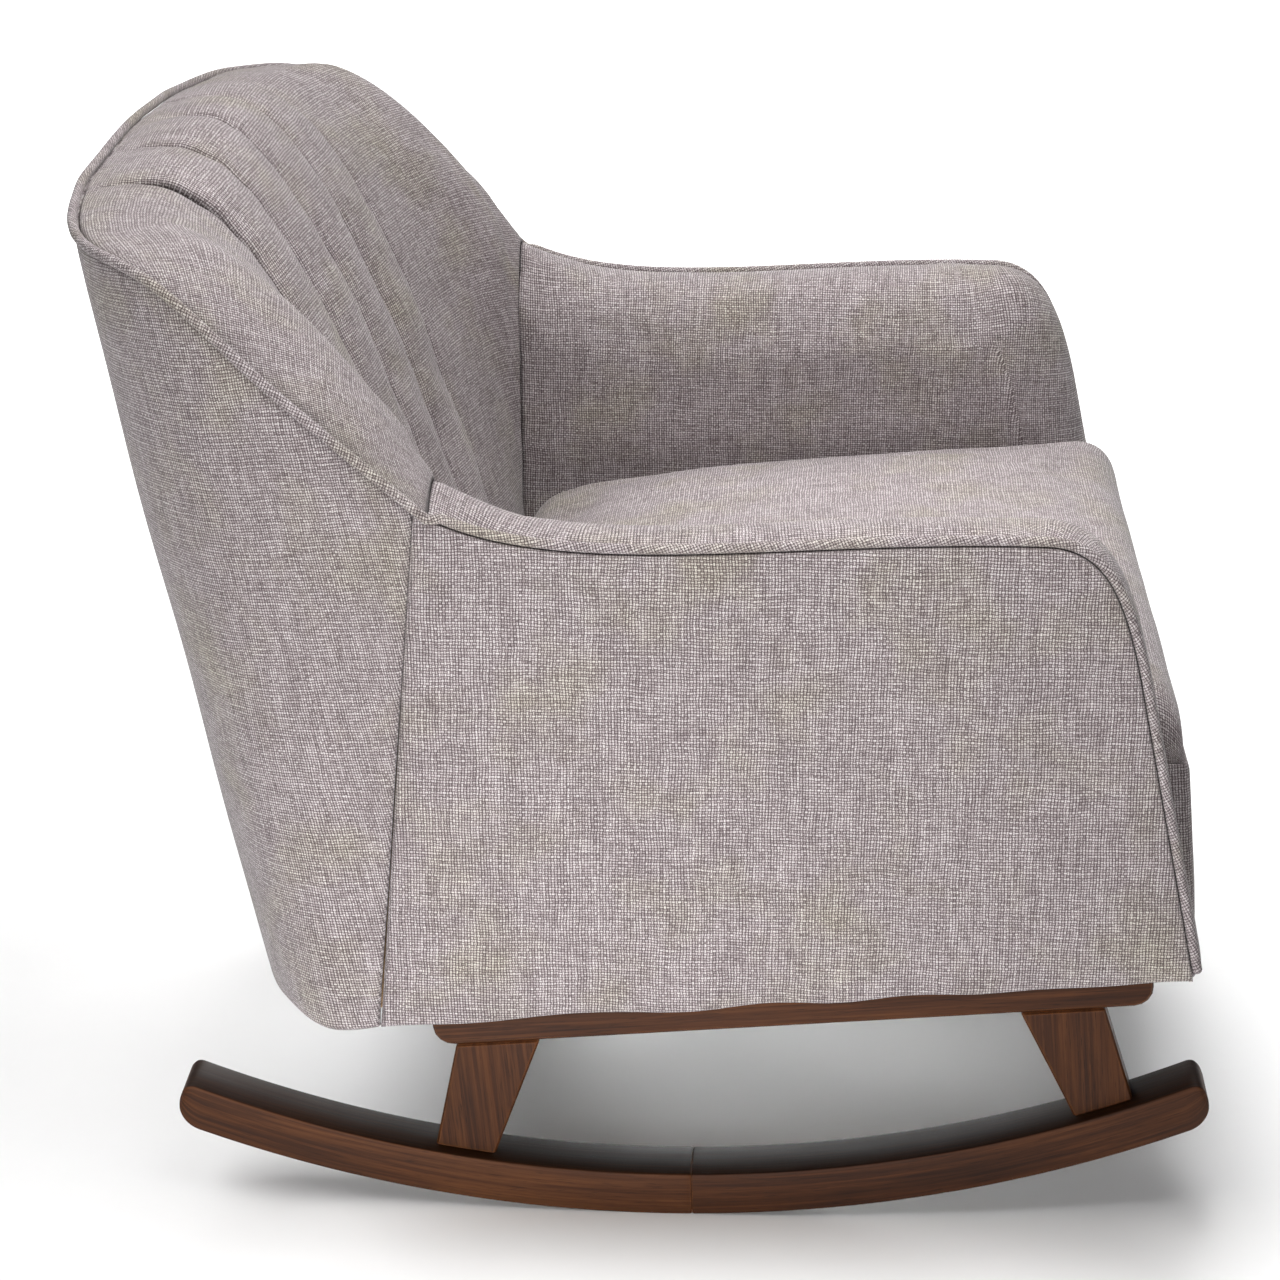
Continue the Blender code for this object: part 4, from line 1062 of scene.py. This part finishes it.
scene = bpy.context.scene
scene.view_settings.view_transform = "Standard"
world = bpy.data.worlds.new("studio")
scene.world = world
world.use_nodes = True
tree = world.node_tree     # faint in what it lights, and pale grey where the camera sees past the floor
faint = tree.nodes["Background"]
faint.inputs["Color"].default_value = (1.0, 1.0, 1.0, 1)
faint.inputs["Strength"].default_value = 0.05
seen = tree.nodes.new("ShaderNodeBackground")
seen.inputs["Color"].default_value = (0.62, 0.62, 0.62, 1)
rays = tree.nodes.new("ShaderNodeLightPath")
either = tree.nodes.new("ShaderNodeMixShader")
for output, socket in (
    (rays.outputs["Is Camera Ray"], either.inputs[0]), (faint.outputs[0], either.inputs[1]),
    (seen.outputs[0], either.inputs[2]), (either.outputs[0], tree.nodes["World Output"].inputs[0]),
):
    tree.links.new(output, socket)


def lamp(name, kind, at, towards, power, size, spread=180):
    """A square lamp with its beam's spread, or a SUN whose size is its angle, both in degrees."""
    light = bpy.data.lights.new(name, kind)
    light.energy = power
    if kind == "SUN":
        light.angle = radians(size)
    else:
        light.shape = "SQUARE"
        light.size = size
        light.spread = radians(spread)
    made = bpy.data.objects.new(name, light)
    scene.collection.objects.link(made)
    made.location = at
    made.rotation_euler = (Vector(towards) - Vector(at)).to_track_quat("-Z", "Y").to_euler()


lamp("window", "SUN", (-0.19, 0.47, 0.86), (0, 0, 0), 2.02, 45)
lamp("ceiling", "AREA", (0.0, -0.1, 1.6), (-0.3, -0.1, 0.45), 9.8, 0.6)
lamp("arm_softbox", "AREA", (-0.68, -0.22, 1.36), (-0.3, -0.1, 0.45), 6.6, 0.6)
lamp("seat_spot", "AREA", (-0.2, -0.22, 1.5), (0.02, -0.18, 0.42), 0.35, 0.3, 40)
lamp("side_softbox", "AREA", (-1.0, 0.12, 0.25), (-0.3, 0.0, 0.4), 4.4, 0.4)
lamp("far_fill", "AREA", (1.3, 0.0, 0.45), (0, 0, 0), 2.9, 0.6, 70)
lamp("backdrop", "AREA", (3.4, 0.0, 2.6), (3.4, 0.001, 0), 130, 3.6, 110)

camera = bpy.data.objects.new("camera", bpy.data.cameras.new("camera"))
scene.collection.objects.link(camera)
camera.location = (-2.270, -0.102, 1.192)
yaw, pitch = radians(3.09), radians(20.65)
forward = Vector((cos(pitch) * cos(yaw), cos(pitch) * sin(yaw), -sin(pitch)))
camera.rotation_euler = forward.to_track_quat("-Z", "Y").to_euler()
camera.data.lens = 90.5
camera.data.sensor_width = 36.0
camera.data.clip_end = 50.0
scene.camera = camera
